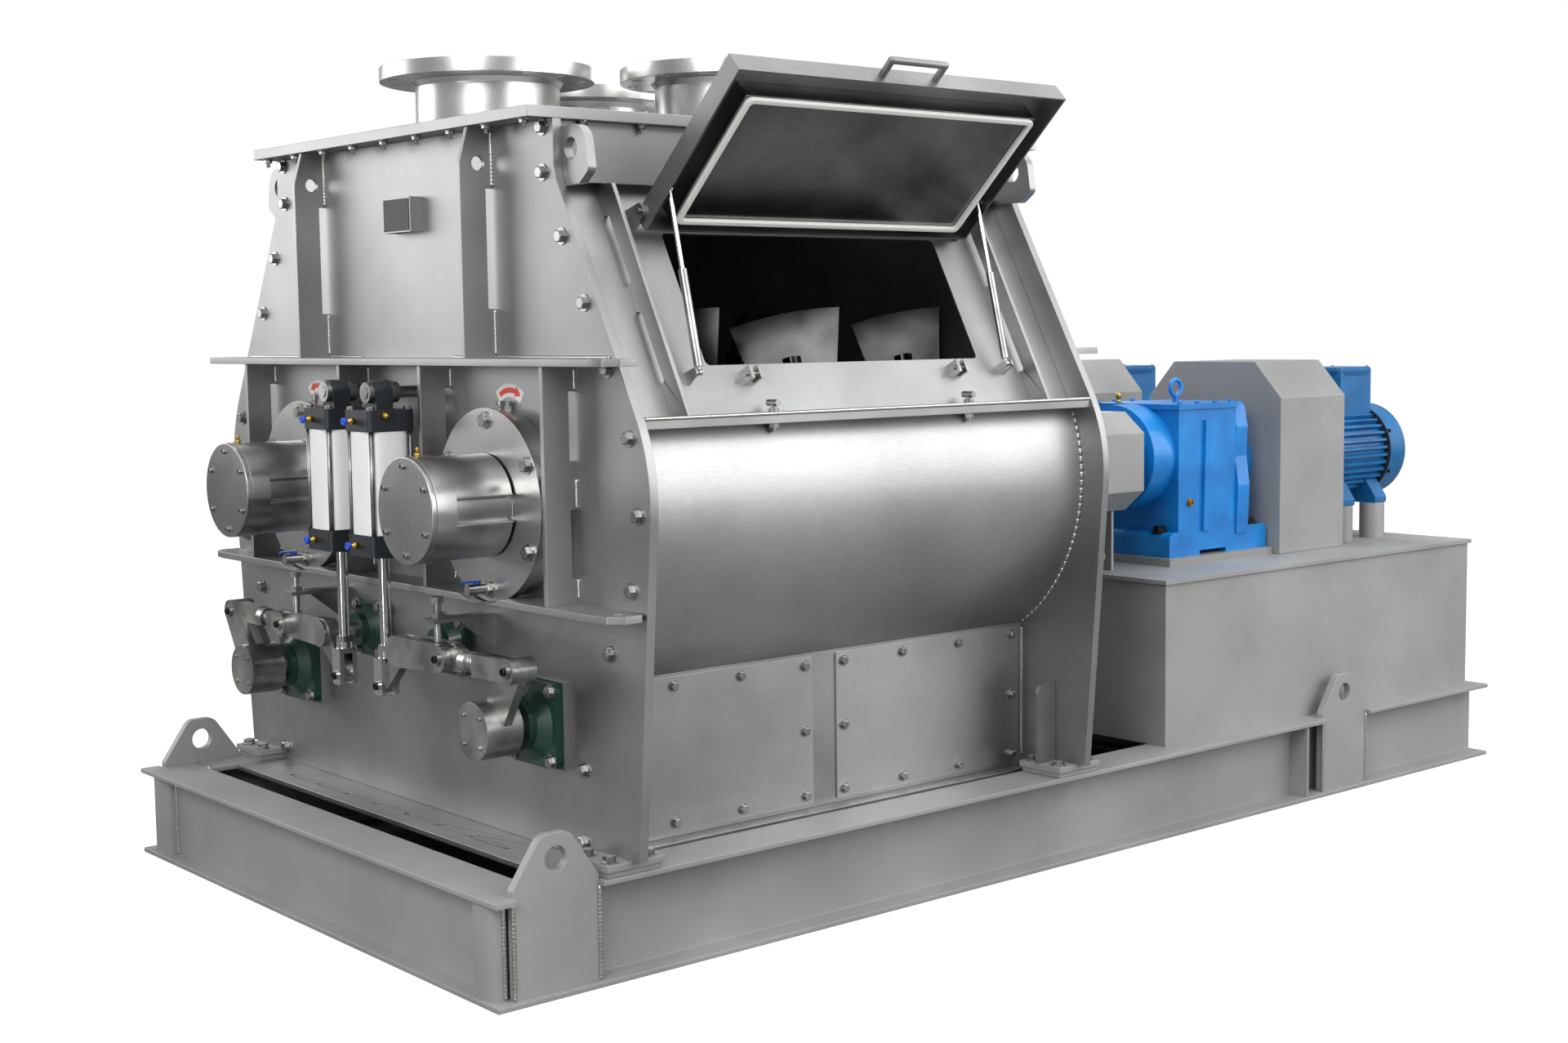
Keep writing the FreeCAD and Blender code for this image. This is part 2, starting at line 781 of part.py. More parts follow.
def trough_shell():
    """The two outer half rounds up to the ledges, and the ridge between the doors."""
    top_turn = math.degrees(math.asin((ledge_bottom - rotor_height) / shell_inner_radius))
    shell = trough_arc(door_gap_angle, 90 + top_turn + 5, shell_inner_radius, shell_outer_radius,
                       front_inner, back_inner)
    roof = box(front_inner, back_inner, 0, rotor_offset + 2 * shell_outer_radius, ledge_bottom, plate_top)
    shell = shell.cut(roof)
    ridge_turn = math.degrees(math.acos(rotor_offset / shell_inner_radius))
    wing = trough_arc(-(90 - ridge_turn) - 4, door_inner_angle - ridge_gap_angle, shell_inner_radius,
                      shell_outer_radius, front_inner, back_inner)
    wing = wing.common(box(front_inner, back_inner, 0, rotor_offset, 0, plate_top))
    ridge = wing.fuse(other_side(wing)).removeSplitter()
    return both_sides([shell]) + [ridge]


def upper_side_wall():
    """The upright wall under the cover, with a lip turned in over the sloping panel."""
    y_out = upper_wall_half_width
    y_in = y_out - sheet_thickness
    lip_in = opening_top_half_width - slope * (upper_wall_bottom - opening_top_height) - 2 * sheet_thickness
    outline = [(y_out, plate_top), (y_out, upper_wall_bottom), (lip_in, upper_wall_bottom),
               (lip_in, upper_wall_bottom + sheet_thickness), (y_in, upper_wall_bottom + sheet_thickness),
               (y_in, plate_top)]
    return plate_x(outline, front_inner, back_inner)


def panel_edge(z):
    """How far out the sloping panel's outer face lies at a height."""
    return opening_top_half_width + slope * (opening_top_height - z)


def side_panels():
    """The sloping panels: the hatch opening is cut through the one on the -Y side."""
    inset = panel_thickness / math.cos(math.radians(slope_angle))
    outline = [(panel_edge(ledge_top), ledge_top), (panel_edge(upper_wall_bottom), upper_wall_bottom),
               (panel_edge(upper_wall_bottom) - inset, upper_wall_bottom),
               (panel_edge(ledge_top) - inset, ledge_top)]
    plain = plate_x(outline, front_inner, back_inner)
    half = opening_half_length
    opening = [(-half, -opening_drop, 12.0), (half, -opening_drop, 12.0), (half, 0, 12.0), (-half, 0, 12.0)]
    cutter = on_slope(plate_z(opening, -40, 40))
    return [other_side(plain).cut(cutter), plain]


def side_ledges():
    """The ledges between the half rounds and the sloping panels, drilled for the clamp screws."""
    inset = panel_thickness / math.cos(math.radians(slope_angle))
    inner = panel_edge(ledge_top) - inset + 1.0
    outline = [(front_inner, inner), (back_inner, inner), (back_inner, ledge_half_width),
               (front_inner, ledge_half_width)]
    far = plate_z(outline, ledge_bottom, ledge_top)
    near = other_side(far)
    for side in (-1, 1):
        near = near.cut(bar_z(body_middle + side * clamp_screw_offset, -clamp_screw_half_width,
                              clamp_screw_radius + running_clearance, ledge_bottom, ledge_top))
    return [near, far]


def panel_fins():
    """Slotted fins from the sloping panels out to the edge of the end plates."""
    pieces = []
    drop = upper_wall_bottom - ledge_top
    for side in (-1, 1):
        x_low = body_middle + side * panel_fin_offset - panel_fin_thickness / 2
        x_high = x_low + panel_fin_thickness
        outline = [(panel_edge(ledge_top), ledge_top), (plate_half_width(ledge_top) - 16, ledge_top),
                   (plate_half_width(upper_wall_bottom) - 5, upper_wall_bottom),
                   (panel_edge(upper_wall_bottom), upper_wall_bottom)]
        fin = plate_x(outline, x_low, x_high)
        for part in (0.14, 0.56):
            low = ledge_top + drop * part
            high = low + drop * 0.3
            slot = [(panel_edge(low), low), (panel_edge(low) + slot_width, low, 6.0),
                    (panel_edge(high) + slot_width, high, 6.0), (panel_edge(high), high)]
            fin = fin.cut(plate_x(slot, x_low, x_high))
        pieces.append(fin)
    return both_sides(pieces)


def access_panel_spans():
    """The X span of each access panel along one side."""
    inner = access_panel_gap / 2
    outer = inner + access_panel_length
    return [(body_middle - outer, body_middle - inner), (body_middle + inner, body_middle + outer)]


def lower_housing():
    """The upright walls under the trough, open behind their access panels."""
    wall = box(front_inner, back_inner, lower_wall_inner, lower_wall_half_width, discharge_top,
               rotor_height - shell_inner_radius * 0.5)
    wall = wall.cut(bar_x(rotor_offset, rotor_height, shell_outer_radius, front_inner, back_inner))
    for x_low, x_high in access_panel_spans():
        wall = wall.cut(box(x_low + access_hole_margin, x_high - access_hole_margin, lower_wall_inner,
                            lower_wall_half_width, access_panel_bottom + access_hole_margin,
                            access_panel_top - access_hole_margin))
    return both_sides([wall])


def access_panels():
    """Four bolted panels with rounded corners."""
    pieces = []
    for x_low, x_high in access_panel_spans():
        outline = [(x_low, access_panel_bottom, 6.0), (x_high, access_panel_bottom, 6.0),
                   (x_high, access_panel_top, 6.0), (x_low, access_panel_top, 6.0)]
        pieces.append(plate_y(outline, lower_wall_half_width, lower_wall_half_width + access_panel_thickness))
    return both_sides(pieces)


def discharge_hole_rows():
    """The X of the two drilled rows in front of and behind the discharge."""
    front_row = front_outer - discharge_flange_reach + discharge_hole_inset
    back_row = back_outer + discharge_flange_reach - discharge_hole_inset
    return front_row, back_row


def discharge_flange():
    """The flat drilled frame around the discharge."""
    x_low = front_outer - discharge_flange_reach
    x_high = back_outer + discharge_flange_reach
    z_low = discharge_top - discharge_flange_thickness
    frame = box(x_low, x_high, -belly_half_width, belly_half_width, z_low, discharge_top)
    frame = frame.cut(box(front_inner, back_inner, -lower_wall_inner, lower_wall_inner, z_low, discharge_top))
    for x in discharge_hole_rows():
        for index in range(8):
            y = (index - 3.5) * discharge_hole_pitch
            frame = frame.cut(bar_z(x, y, discharge_hole_radius, z_low, discharge_top))
    return [frame]


def inlet_places():
    """The (x, y) of the three inlets."""
    return [(front_inlet_x, 0.0), (back_inlet_x, -back_inlet_offset), (back_inlet_x, back_inlet_offset)]


def top_cover():
    """The cover plate with its three inlet holes."""
    cover = box(front_outer - cover_overhang_front, back_outer + cover_overhang_back, -top_half_width,
                top_half_width, plate_top, plate_top + cover_thickness)
    for x, y in inlet_places():
        cover = cover.cut(bar_z(x, y, inlet_pipe_radius - inlet_pipe_wall, plate_top, plate_top + cover_thickness))
    return [cover]


def inlet_nozzle(x, y):
    """A pipe stub with a drilled flange and a small weld neck."""
    foot = plate_top + cover_thickness
    flange_bottom = inlet_flange_top - inlet_flange_thickness
    neck = Part.makeCone(inlet_pipe_radius, inlet_pipe_radius + 8, 12, V(x, y, flange_bottom - 12), V(0, 0, 1))
    body = bar_z(x, y, inlet_pipe_radius, foot, flange_bottom).fuse(neck)
    body = body.fuse(bar_z(x, y, inlet_flange_radius, flange_bottom, inlet_flange_top))
    body = body.cut(bar_z(x, y, inlet_pipe_radius - inlet_pipe_wall, foot, inlet_flange_top))
    for index in range(inlet_bolt_count):
        turn = 2 * math.pi * (index + 0.5) / inlet_bolt_count
        hole_x = x + inlet_bolt_circle_radius * math.cos(turn)
        hole_y = y + inlet_bolt_circle_radius * math.sin(turn)
        body = body.cut(bar_z(hole_x, hole_y, inlet_bolt_hole_radius, flange_bottom, inlet_flange_top))
    return body


def lifting_ears():
    """Four rounded ears on the upper walls, against the insides of the end plates."""
    pieces = []
    outer = ear_hole_offset + ear_eye_radius
    outline = [(upper_wall_half_width, ear_bottom), (upper_wall_half_width, ear_hole_height + ear_eye_radius),
               (outer, ear_hole_height + ear_eye_radius, ear_eye_radius - 4),
               (outer + 14, ear_hole_height - ear_eye_radius, 16.0),
               (outer - 20, ear_bottom, 10.0)]
    for x_low in (front_inner, back_inner - plate_thickness):
        ear = plate_x(outline, x_low, x_low + plate_thickness)
        pieces.append(ear.cut(bar_x(ear_hole_offset, ear_hole_height, ear_hole_radius, x_low,
                                    x_low + plate_thickness)))
    return both_sides(pieces)


def nameplate():
    """A folded bracket that holds a blank plate off the front end plate."""
    low = nameplate_left
    high = nameplate_left + nameplate_width
    face = front_outer - nameplate_standoff
    outline = [(front_outer, low), (face, low, 3.0), (face, high, 3.0), (front_outer, high),
               (front_outer, high - 3), (face + 3, high - 3), (face + 3, low + 3), (front_outer, low + 3)]
    return [plate_z(outline, nameplate_bottom, nameplate_bottom + nameplate_height)]


def seal_flanges():
    """The round seal housings between the end plates and the bearing housings."""
    pieces = []
    for x_low, x_high in ((front_outer - seal_ring_length, front_outer),
                          (back_outer, back_outer + seal_ring_length)):
        pieces.append(ring_x(rotor_offset, rotor_height, seal_ring_radius, rotor_shaft_radius + 6, x_low, x_high))
    return both_sides(pieces)


def bearing_housings():
    """Turned housings: flange, tube and head with a cover in front, flange and tube at the drive end."""
    y = rotor_offset
    z = rotor_height
    front = bar_x(y, z, housing_flange_radius, housing_end, housing_end + housing_flange_length)
    front = front.fuse(bar_x(y, z, housing_tube_radius, housing_shoulder, housing_end))
    front = front.fuse(bar_x(y, z, housing_head_radius, cover_face + housing_cover_length, housing_shoulder))
    front = front.cut(bar_x(y, z, housing_bore_radius, cover_face + housing_cover_length + 8, front_outer))
    cover = bar_x(y, z, housing_head_radius, cover_face, cover_face + housing_cover_length)
    cover = cover.makeChamfer(1.5, [cover.Edges[0], cover.Edges[2]])
    low = back_outer + seal_ring_length
    back = bar_x(y, z, housing_flange_radius, low, low + housing_flange_length)
    back = back.fuse(bar_x(y, z, housing_tube_radius, low, low + drive_housing_length))
    back = back.cut(bar_x(y, z, housing_bore_radius, low, low + drive_housing_length))
    return both_sides([front, cover, back])


def shaft_bearings():
    """Ring bearings of both rotors, in front and at the drive end."""
    bore = shaft_end_radius + running_clearance
    front_low = housing_shoulder - 30
    back_low = back_outer + seal_ring_length + drive_housing_length - 40
    pieces = []
    pieces.append(ring_x(rotor_offset, rotor_height, housing_bore_radius, bore, front_low, front_low + 34))
    pieces.append(ring_x(rotor_offset, rotor_height, housing_bore_radius, bore, back_low, back_low + 34))
    return both_sides(pieces)


def bearing_guards():
    """Half round guards over the gap between the bearing tube and its flange, above and below."""
    pieces = []
    x_low = housing_shoulder - 6
    x_high = housing_end - 4
    sleeve = ring_x(rotor_offset, rotor_height, guard_radius, guard_radius - guard_sheet, x_low, x_high)
    head = bar_x(rotor_offset, rotor_height, housing_head_radius, cover_face, housing_shoulder)
    sleeve = sleeve.cut(head)
    for low_z, high_z in ((rotor_height + 26, rotor_height + guard_radius),
                          (rotor_height - guard_radius, rotor_height - 26)):
        shell = sleeve.common(box(x_low, x_high, 0, 2 * rotor_offset, low_z, high_z))
        web_z = high_z if low_z < rotor_height else low_z
        ear_z = (web_z - 3, web_z) if low_z < rotor_height else (web_z, web_z + 3)
        plate = box(housing_shoulder, x_high, rotor_offset - guard_radius, rotor_offset + guard_radius,
                    ear_z[0], ear_z[1])
        plate = plate.cut(bar_x(rotor_offset, rotor_height, housing_tube_radius, x_low, x_high))
        pieces.append(shell.fuse(plate))
    return both_sides(pieces)


def rotor_row_places():
    """The X of each paddle row."""
    half = (paddle_row_count - 1) / 2
    return [body_middle + (index - half) * paddle_pitch for index in range(paddle_row_count)]


def paddle(x_centre, width, turn):
    """One paddle: a tapered blade set askew on a round arm, trimmed to the sweep of the rotor."""
    tip = paddle_tip_radius + 20
    root_width = paddle_root_width * width / paddle_width
    outline = [(-root_width / 2, paddle_root_radius, 20.0), (root_width / 2, paddle_root_radius, 20.0),
               (width / 2, tip), (-width / 2, tip)]
    blade = plate_y(outline, 0, paddle_thickness)
    blade.rotate(V(0, 0, 0), V(0, 0, 1), paddle_tilt)
    blade = blade.common(bar_x(0, 0, paddle_tip_radius, -width, width))
    arm = bar_z(0, 0, arm_radius, 0, paddle_root_radius + 70).cut(
        bar_x(0, 0, rotor_shaft_radius, -width, width))
    piece = blade.fuse(arm)
    piece.rotate(V(0, 0, 0), ABOUT_X, turn)
    piece.translate(V(x_centre, -rotor_offset, rotor_height))
    return piece


def paddles():
    """Opposed pairs of paddles on the -Y rotor, each row a quarter turn from its neighbours."""
    pieces = []
    rows = rotor_row_places()
    for index, x_centre in enumerate(rows):
        last = index in (0, len(rows) - 1)
        width = end_paddle_width if last else paddle_width
        start = rotor_lean + (90 if index % 2 else 0)
        for half_turn in (0, 180):
            pieces.append(paddle(x_centre, width, start + half_turn))
    return pieces


def rotor_shaft():
    """The -Y rotor's stepped shaft with its coupling, from the front bearing into the gearbox."""
    y = -rotor_offset
    z = rotor_height
    front_step = housing_end + 4
    back_step = back_outer + seal_ring_length + drive_housing_length - 46
    shaft = bar_x(y, z, rotor_shaft_radius, front_step, back_step)
    shaft = shaft.fuse(bar_x(y, z, shaft_end_radius, housing_shoulder - 34, front_step))
    shaft = shaft.fuse(bar_x(y, z, shaft_end_radius, back_step, gear_nose_front + gear_bore_depth - 10))
    middle = (coupling_front + coupling_back) / 2
    for x_low, x_high in ((coupling_front, middle - 2), (middle + 2, coupling_back)):
        shaft = shaft.fuse(bar_x(y, z, coupling_radius, x_low, x_high))
    return shaft.fuse(bar_x(y, z, coupling_radius * 0.8, middle - 2, middle + 2))


def door_shaft():
    """The +Y door's shaft through both end plates, with its end hub and the hub's lever."""
    end = back_outer + spacer_thickness + flange_bearing_length + 12
    shaft = bar_x(door_y, door_z, door_shaft_radius, hub_face_x + 20, end)
    hub = bar_x(door_y, door_z, hub_radius, hub_face_x, hub_face_x + hub_length)
    return shaft.fuse(hub)


def tapered_arm(start, end, start_radius, end_radius, x_low, x_high):
    """A flat arm between two (y, z) points with round ends and tangent sides."""
    first = V(0, start[0], start[1])
    second = V(0, end[0], end[1])
    along = second.sub(first)
    length = along.Length
    along.normalize()
    across = V(0, -along.z, along.y)
    lean = (start_radius - end_radius) / length
    side = math.sqrt(1 - lean * lean)
    corners = []
    for centre, radius, sign in ((first, start_radius, 1), (second, end_radius, 1),
                                 (second, end_radius, -1), (first, start_radius, -1)):
        point = centre.add(along * (radius * lean)).add(across * (sign * radius * side))
        corners.append((point.y, point.z))
    arm = plate_x(corners, x_low, x_high)
    arm = arm.fuse(bar_x(start[0], start[1], start_radius, x_low, x_high))
    return arm.fuse(bar_x(end[0], end[1], end_radius, x_low, x_high)).removeSplitter()


def layer_spans():
    """X spans of the linkage: the middle plate, and the cheeks before and behind it."""
    half = link_plate_thickness / 2
    middle = (link_plane_x - half, link_plane_x + half)
    front = (middle[0] - layer_gap - cheek_thickness, middle[0] - layer_gap)
    back = (middle[1] + layer_gap, middle[1] + layer_gap + cheek_thickness)
    return middle, front, back


def door_lever(forked):
    """The +Y door's lever from its hub up to the link: one plate, or two cheeks with pin heads outside."""
    hub = (door_y, door_z)
    middle, front, back = layer_spans()
    keep_out = bar_x(door_y, door_z, hub_radius - 1, hub_face_x, hub_face_x + hub_length)
    spans = (front, back) if forked else (middle,)
    pieces = []
    for x_low, x_high in spans:
        arm = tapered_arm(hub, lever_pin, lever_root_radius, link_eye_radius, x_low, x_high).cut(keep_out)
        if forked:
            low_head, high_head = pin_heads(lever_pin, x_low, x_high)
            arm = arm.fuse(low_head if x_high < link_plane_x else high_head)
        pieces.append(arm)
    return pieces


def door_body_shaft(forked):
    """A door's shaft, hub and lever as one welded piece."""
    piece = door_shaft()
    for arm in door_lever(forked):
        piece = piece.fuse(arm)
    return piece


def door_leaf():
    """The +Y door: a curved leaf that closes the trough, its root on the shaft, and ribs below."""
    x_low = front_inner + door_side_gap
    x_high = back_inner - door_side_gap
    leaf = trough_arc(door_inner_angle, door_edge_angle, shell_inner_radius, shell_outer_radius, x_low, x_high)
    shaft = bar_x(door_y, door_z, door_shaft_radius, x_low, x_high)
    root = trough_arc(door_edge_angle - 9, door_edge_angle, shell_outer_radius,
                      shell_outer_radius + door_shaft_radius, x_low, x_high)
    leaf = leaf.fuse(root)
    pitch = (x_high - x_low - door_rib_thickness) / (door_rib_count - 1)
    root_outer = shell_outer_radius + door_rib_depth
    tip_outer = shell_outer_radius + door_rib_depth * 0.3
    for index in range(door_rib_count):
        start = x_low + index * pitch
        rib = ring_x(rotor_offset, rotor_height, root_outer, shell_outer_radius, start, start + door_rib_thickness)
        rib = rib.common(rotor_sector(root_outer, door_inner_angle, door_edge_angle - 3, start,
                                      start + door_rib_thickness))
        shift = root_outer - tip_outer
        trim = bar_x(rotor_offset + shift * 0.9, rotor_height + shift * 0.35, root_outer, start,
                     start + door_rib_thickness)
        leaf = leaf.fuse(rib.common(trim))
    return leaf.cut(shaft)


def square_bearing(centre, size, nose_radius, bore, x_face, outward, length):
    """A four bolt flange bearing: a rounded square base and a round nose."""
    y, z = centre
    half = size / 2
    base_end = x_face + outward * flange_bearing_base
    nose_end = x_face + outward * length
    outline = [(y - half, z - half, 22.0), (y + half, z - half, 22.0), (y + half, z + half, 22.0),
               (y - half, z + half, 22.0)]
    edges = sorted((x_face, base_end))
    body = plate_x(outline, edges[0], edges[1])
    cone = Part.makeCone(half * 0.88, nose_radius, abs(nose_end - base_end) * 0.55, V(base_end, y, z),
                         V(outward, 0, 0))
    edges = sorted((base_end, nose_end))
    body = body.fuse(cone).fuse(bar_x(y, z, nose_radius, edges[0], edges[1]))
    edges = sorted((x_face, nose_end))
    return body.cut(bar_x(y, z, bore, edges[0], edges[1]))


def flange_bearings():
    """Flange bearings of the doors at both ends on spacer plates, and of the bellcranks."""
    pieces = []
    half = spacer_size / 2
    outline = [(door_y - half, door_z - half), (door_y + half, door_z - half), (door_y + half, door_z + half),
               (door_y - half, door_z + half)]
    for face, outward in ((front_outer, -1), (back_outer, 1)):
        seat = face + outward * spacer_thickness
        edges = sorted((face, seat))
        spacer = plate_x(outline, edges[0], edges[1])
        pieces.append(spacer.cut(bar_x(door_y, door_z, door_shaft_radius + 2, edges[0], edges[1])))
        pieces.append(square_bearing((door_y, door_z), flange_bearing_size, flange_bearing_nose_radius,
                                     door_shaft_radius + running_clearance, seat, outward, flange_bearing_length))
    pieces.append(square_bearing(crank_pivot, crank_bearing_size, crank_bearing_nose_radius,
                                 crank_shaft_radius + running_clearance, front_outer, -1, flange_bearing_length))
    return both_sides(pieces)


def bellcrank(forked):
    """The +Y bellcrank: its shaft and hub, an arm to the link and an arm to the air cylinder."""
    middle, front, back = layer_spans()
    hub_low = link_plane_x - crank_hub_length / 2
    hub = bar_x(crank_pivot[0], crank_pivot[1], crank_hub_radius, hub_low, hub_low + crank_hub_length)
    shaft = bar_x(crank_pivot[0], crank_pivot[1], crank_shaft_radius, hub_low + 8, front_outer)
    piece = hub.fuse(shaft)
    piece = piece.fuse(tapered_arm(crank_pivot, clevis_pin, clevis_arm_root_radius, clevis_eye_radius,
                                   middle[0], middle[1]))
    spans = (front, back) if forked else (middle,)
    for x_low, x_high in spans:
        piece = piece.fuse(tapered_arm(crank_pivot, crank_pin, crank_hub_radius + 2, crank_eye_radius,
                                       x_low, x_high))
    return piece.cut(bar_x(crank_pin[0], crank_pin[1], pin_radius + running_clearance, front[0], back[1]))


def pin_heads(centre, x_low, x_high):
    """The two heads of a pin, just outside the layers that it holds."""
    low_head = bar_x(centre[0], centre[1], pin_head_radius, x_low - pin_head_length, x_low)
    high_head = bar_x(centre[0], centre[1], pin_head_radius, x_high, x_high + pin_head_length)
    return [low_head, high_head]


def link(fork_at_lever):
    """The turnbuckle link on the +Y side, with the bellcrank's pin: an eye block, a rod and a fork."""
    middle, front, back = layer_spans()
    block_pin = crank_pin if fork_at_lever else lever_pin
    fork_pin = lever_pin if fork_at_lever else crank_pin
    length = math.hypot(fork_pin[0] - block_pin[0], fork_pin[1] - block_pin[1])
    block_reach = link_crank_end if fork_at_lever else link_lever_end
    bridge = length - (link_lever_end if fork_at_lever else link_crank_end)
    half_height = link_eye_radius - 4
    eye = bar_x(0, 0, link_eye_radius, middle[0], middle[1])
    eye = eye.fuse(box(middle[0], middle[1], 0, block_reach, -half_height, half_height))
    nut_start = block_reach + link_boss_length
    boss = bar_y(link_plane_x, 0, half_height - 1, block_reach, nut_start)
    nut = bar_y(link_plane_x, 0, link_nut_radius, nut_start, nut_start + link_nut_length)
    rod = bar_y(link_plane_x, 0, link_rod_radius, nut_start, bridge)
    body = eye.fuse(boss).fuse(nut).fuse(rod)
    body = body.fuse(bar_y(link_plane_x, 0, half_height - 1, bridge - 18, bridge))
    body = body.fuse(box(front[0], back[1], bridge, bridge + 22, -half_height, half_height))
    for x_low, x_high in (front, back):
        body = body.fuse(box(x_low, x_high, bridge, length, -half_height, half_height))
        body = body.fuse(bar_x(length, 0, link_eye_radius, x_low, x_high))
    turn = math.degrees(math.atan2(fork_pin[1] - block_pin[1], fork_pin[0] - block_pin[0]))
    body.rotate(V(0, 0, 0), ABOUT_X, turn)
    body.translate(V(0, block_pin[0], block_pin[1]))
    gap = layer_gap if fork_at_lever else 0
    heads = pin_heads(crank_pin, front[0] - gap, back[1] + gap)
    if fork_at_lever:
        heads += pin_heads(lever_pin, front[0], back[1])
    body = body.fuse(bar_x(crank_pin[0], crank_pin[1], pin_radius, front[0] - gap, back[1] + gap))
    for head in heads:
        body = body.fuse(head)
    return body


def stop_brackets():
    """Gusseted shelves with the screws that the bellcrank arms rest against when the doors are shut."""
    half = stop_plate_width / 2
    shelf_low = stop_plate_top - stop_plate_thickness
    x_out = link_plane_x - half
    shelf = box(x_out, front_outer, stop_offset - half, stop_offset + half, shelf_low, stop_plate_top)
    screw_hole = bar_z(link_plane_x, stop_offset, stop_screw_radius, shelf_low, stop_plate_top)
    gusset = [(front_outer, shelf_low), (front_outer - 90, shelf_low), (front_outer, shelf_low - 70)]
    rib = plate_y(gusset, stop_offset + half - 8, stop_offset + half)
    shelf = shelf.fuse(rib).cut(screw_hole)
    along = (stop_offset - crank_pivot[0]) / (crank_pin[0] - crank_pivot[0])
    arm_middle = crank_pivot[1] + along * (crank_pin[1] - crank_pivot[1])
    arm_half = crank_hub_radius + 2 + along * (crank_eye_radius - crank_hub_radius - 2)
    tip = arm_middle + arm_half + 0.6
    screw = bar_z(link_plane_x, stop_offset, stop_screw_radius, tip, stop_screw_top)
    head = hexagon_z(link_plane_x, stop_offset, 15.0, stop_screw_top - 12, stop_screw_top)
    nut = hexagon_z(link_plane_x, stop_offset, 15.0, stop_plate_top, stop_plate_top + 12)
    return both_sides([shelf, screw.fuse(head).fuse(nut)])


def hexagon_z(x, y, radius, z_low, z_high):
    """A six sided prism along Z."""
    corners = []
    for index in range(6):
        turn = math.pi * index / 3
        corners.append((x + radius * math.cos(turn), y + radius * math.sin(turn)))
    return plate_z(corners, z_low, z_high)


def cylinder_hangers():
    """The pins that carry the air cylinders, with a collar at the plate and one before the eye."""
    y, z = cylinder_pin
    front = cylinder_x - eye_half_length - layer_gap
    back = cylinder_x + eye_half_length + layer_gap
    bar = bar_x(y, z, hanger_radius, front - 14, front_outer)
    bar = bar.fuse(bar_x(y, z, hanger_collar_radius, front_outer - 18, front_outer))
    bar = bar.fuse(bar_x(y, z, hanger_collar_radius, front - 12, front))
    bar = bar.fuse(bar_x(y, z, hanger_collar_radius, back, back + 22))
    return both_sides([bar])


def rounded_square(centre_y, half, radius):
    """Corners of a rounded square about the cylinder axis, as (x, y, radius)."""
    return [(cylinder_x - half, centre_y - half, radius), (cylinder_x + half, centre_y - half, radius),
            (cylinder_x + half, centre_y + half, radius), (cylinder_x - half, centre_y + half, radius)]


def air_cylinder():
    """The +Y air cylinder: end caps, barrel, tie rods and the eye that hangs on its pin."""
    y, z = cylinder_pin
    half = cylinder_size / 2
    top_low = cylinder_top - cylinder_cap_height
    bottom_low = barrel_bottom - cylinder_cap_height
    top = plate_z(rounded_square(y, half, 9.0), top_low, cylinder_top)
    lug = box(cylinder_x - eye_half_length, cylinder_x + eye_half_length, y - eye_radius, y + eye_radius,
              cylinder_top, z)
    lug = lug.fuse(bar_x(y, z, eye_radius, cylinder_x - eye_half_length, cylinder_x + eye_half_length))
    top = top.fuse(lug).cut(bar_x(y, z, hanger_radius + running_clearance, cylinder_x - eye_half_length,
                                  cylinder_x + eye_half_length))
    bore = bar_z(cylinder_x, y, piston_rod_radius + running_clearance, bottom_low - gland_height, barrel_bottom)
    bottom = plate_z(rounded_square(y, half, 9.0), bottom_low, barrel_bottom)
    bottom = bottom.fuse(bar_z(cylinder_x, y, 26.0, bottom_low - gland_height, bottom_low)).cut(bore)
    barrel = bar_z(cylinder_x, y, barrel_radius, barrel_bottom, top_low)
    barrel = barrel.cut(bar_z(cylinder_x, y, barrel_bore_radius, barrel_bottom, top_low))
    pieces = [top, bottom, barrel]
    for side_x in (-1, 1):
        for side_y in (-1, 1):
            pieces.append(bar_z(cylinder_x + side_x * tie_rod_offset, y + side_y * tie_rod_offset,
                                tie_rod_radius, barrel_bottom, top_low))
    return pieces


def piston_rod():
    """The +Y piston, its rod, lock nut and the clevis over the bellcrank's lower arm."""
    y, z = clevis_pin
    half = clevis_width / 2
    middle = layer_spans()[0]
    piston = bar_z(cylinder_x, y, barrel_bore_radius - running_clearance, piston_start, piston_start + piston_height)
    rod = bar_z(cylinder_x, y, piston_rod_radius, clevis_shoulder, piston_start)
    nut = hexagon_z(cylinder_x, y, 20.0, clevis_top, clevis_top + 14)
    neck = bar_z(cylinder_x, y, half - 2, clevis_shoulder, clevis_top)
    body = [(y - half + 3, clevis_bottom, 8.0), (y + half - 3, clevis_bottom, 8.0),
            (y + half - 3, clevis_shoulder), (y - half + 3, clevis_shoulder)]
    clevis = plate_x(body, link_plane_x - half, link_plane_x + half)
    throat = box(middle[0] - layer_gap, middle[1] + layer_gap, y - half, y + half, clevis_bottom, clevis_throat_top)
    clevis = clevis.cut(throat)
    for x_low, x_high in ((link_plane_x - half - pin_head_length, link_plane_x - half),
                          (link_plane_x + half, link_plane_x + half + pin_head_length)):
        clevis = clevis.fuse(bar_x(y, z, pin_radius, x_low, x_high))
    return [piston.fuse(rod).fuse(nut).fuse(neck).fuse(clevis)]


def slope_box(along_low, along_high, up_low, up_high, out_low, out_high):
    """A box on the sloping hatch panel's own axes."""
    return on_slope(box(along_low, along_high, up_low, up_high, out_low, out_high))


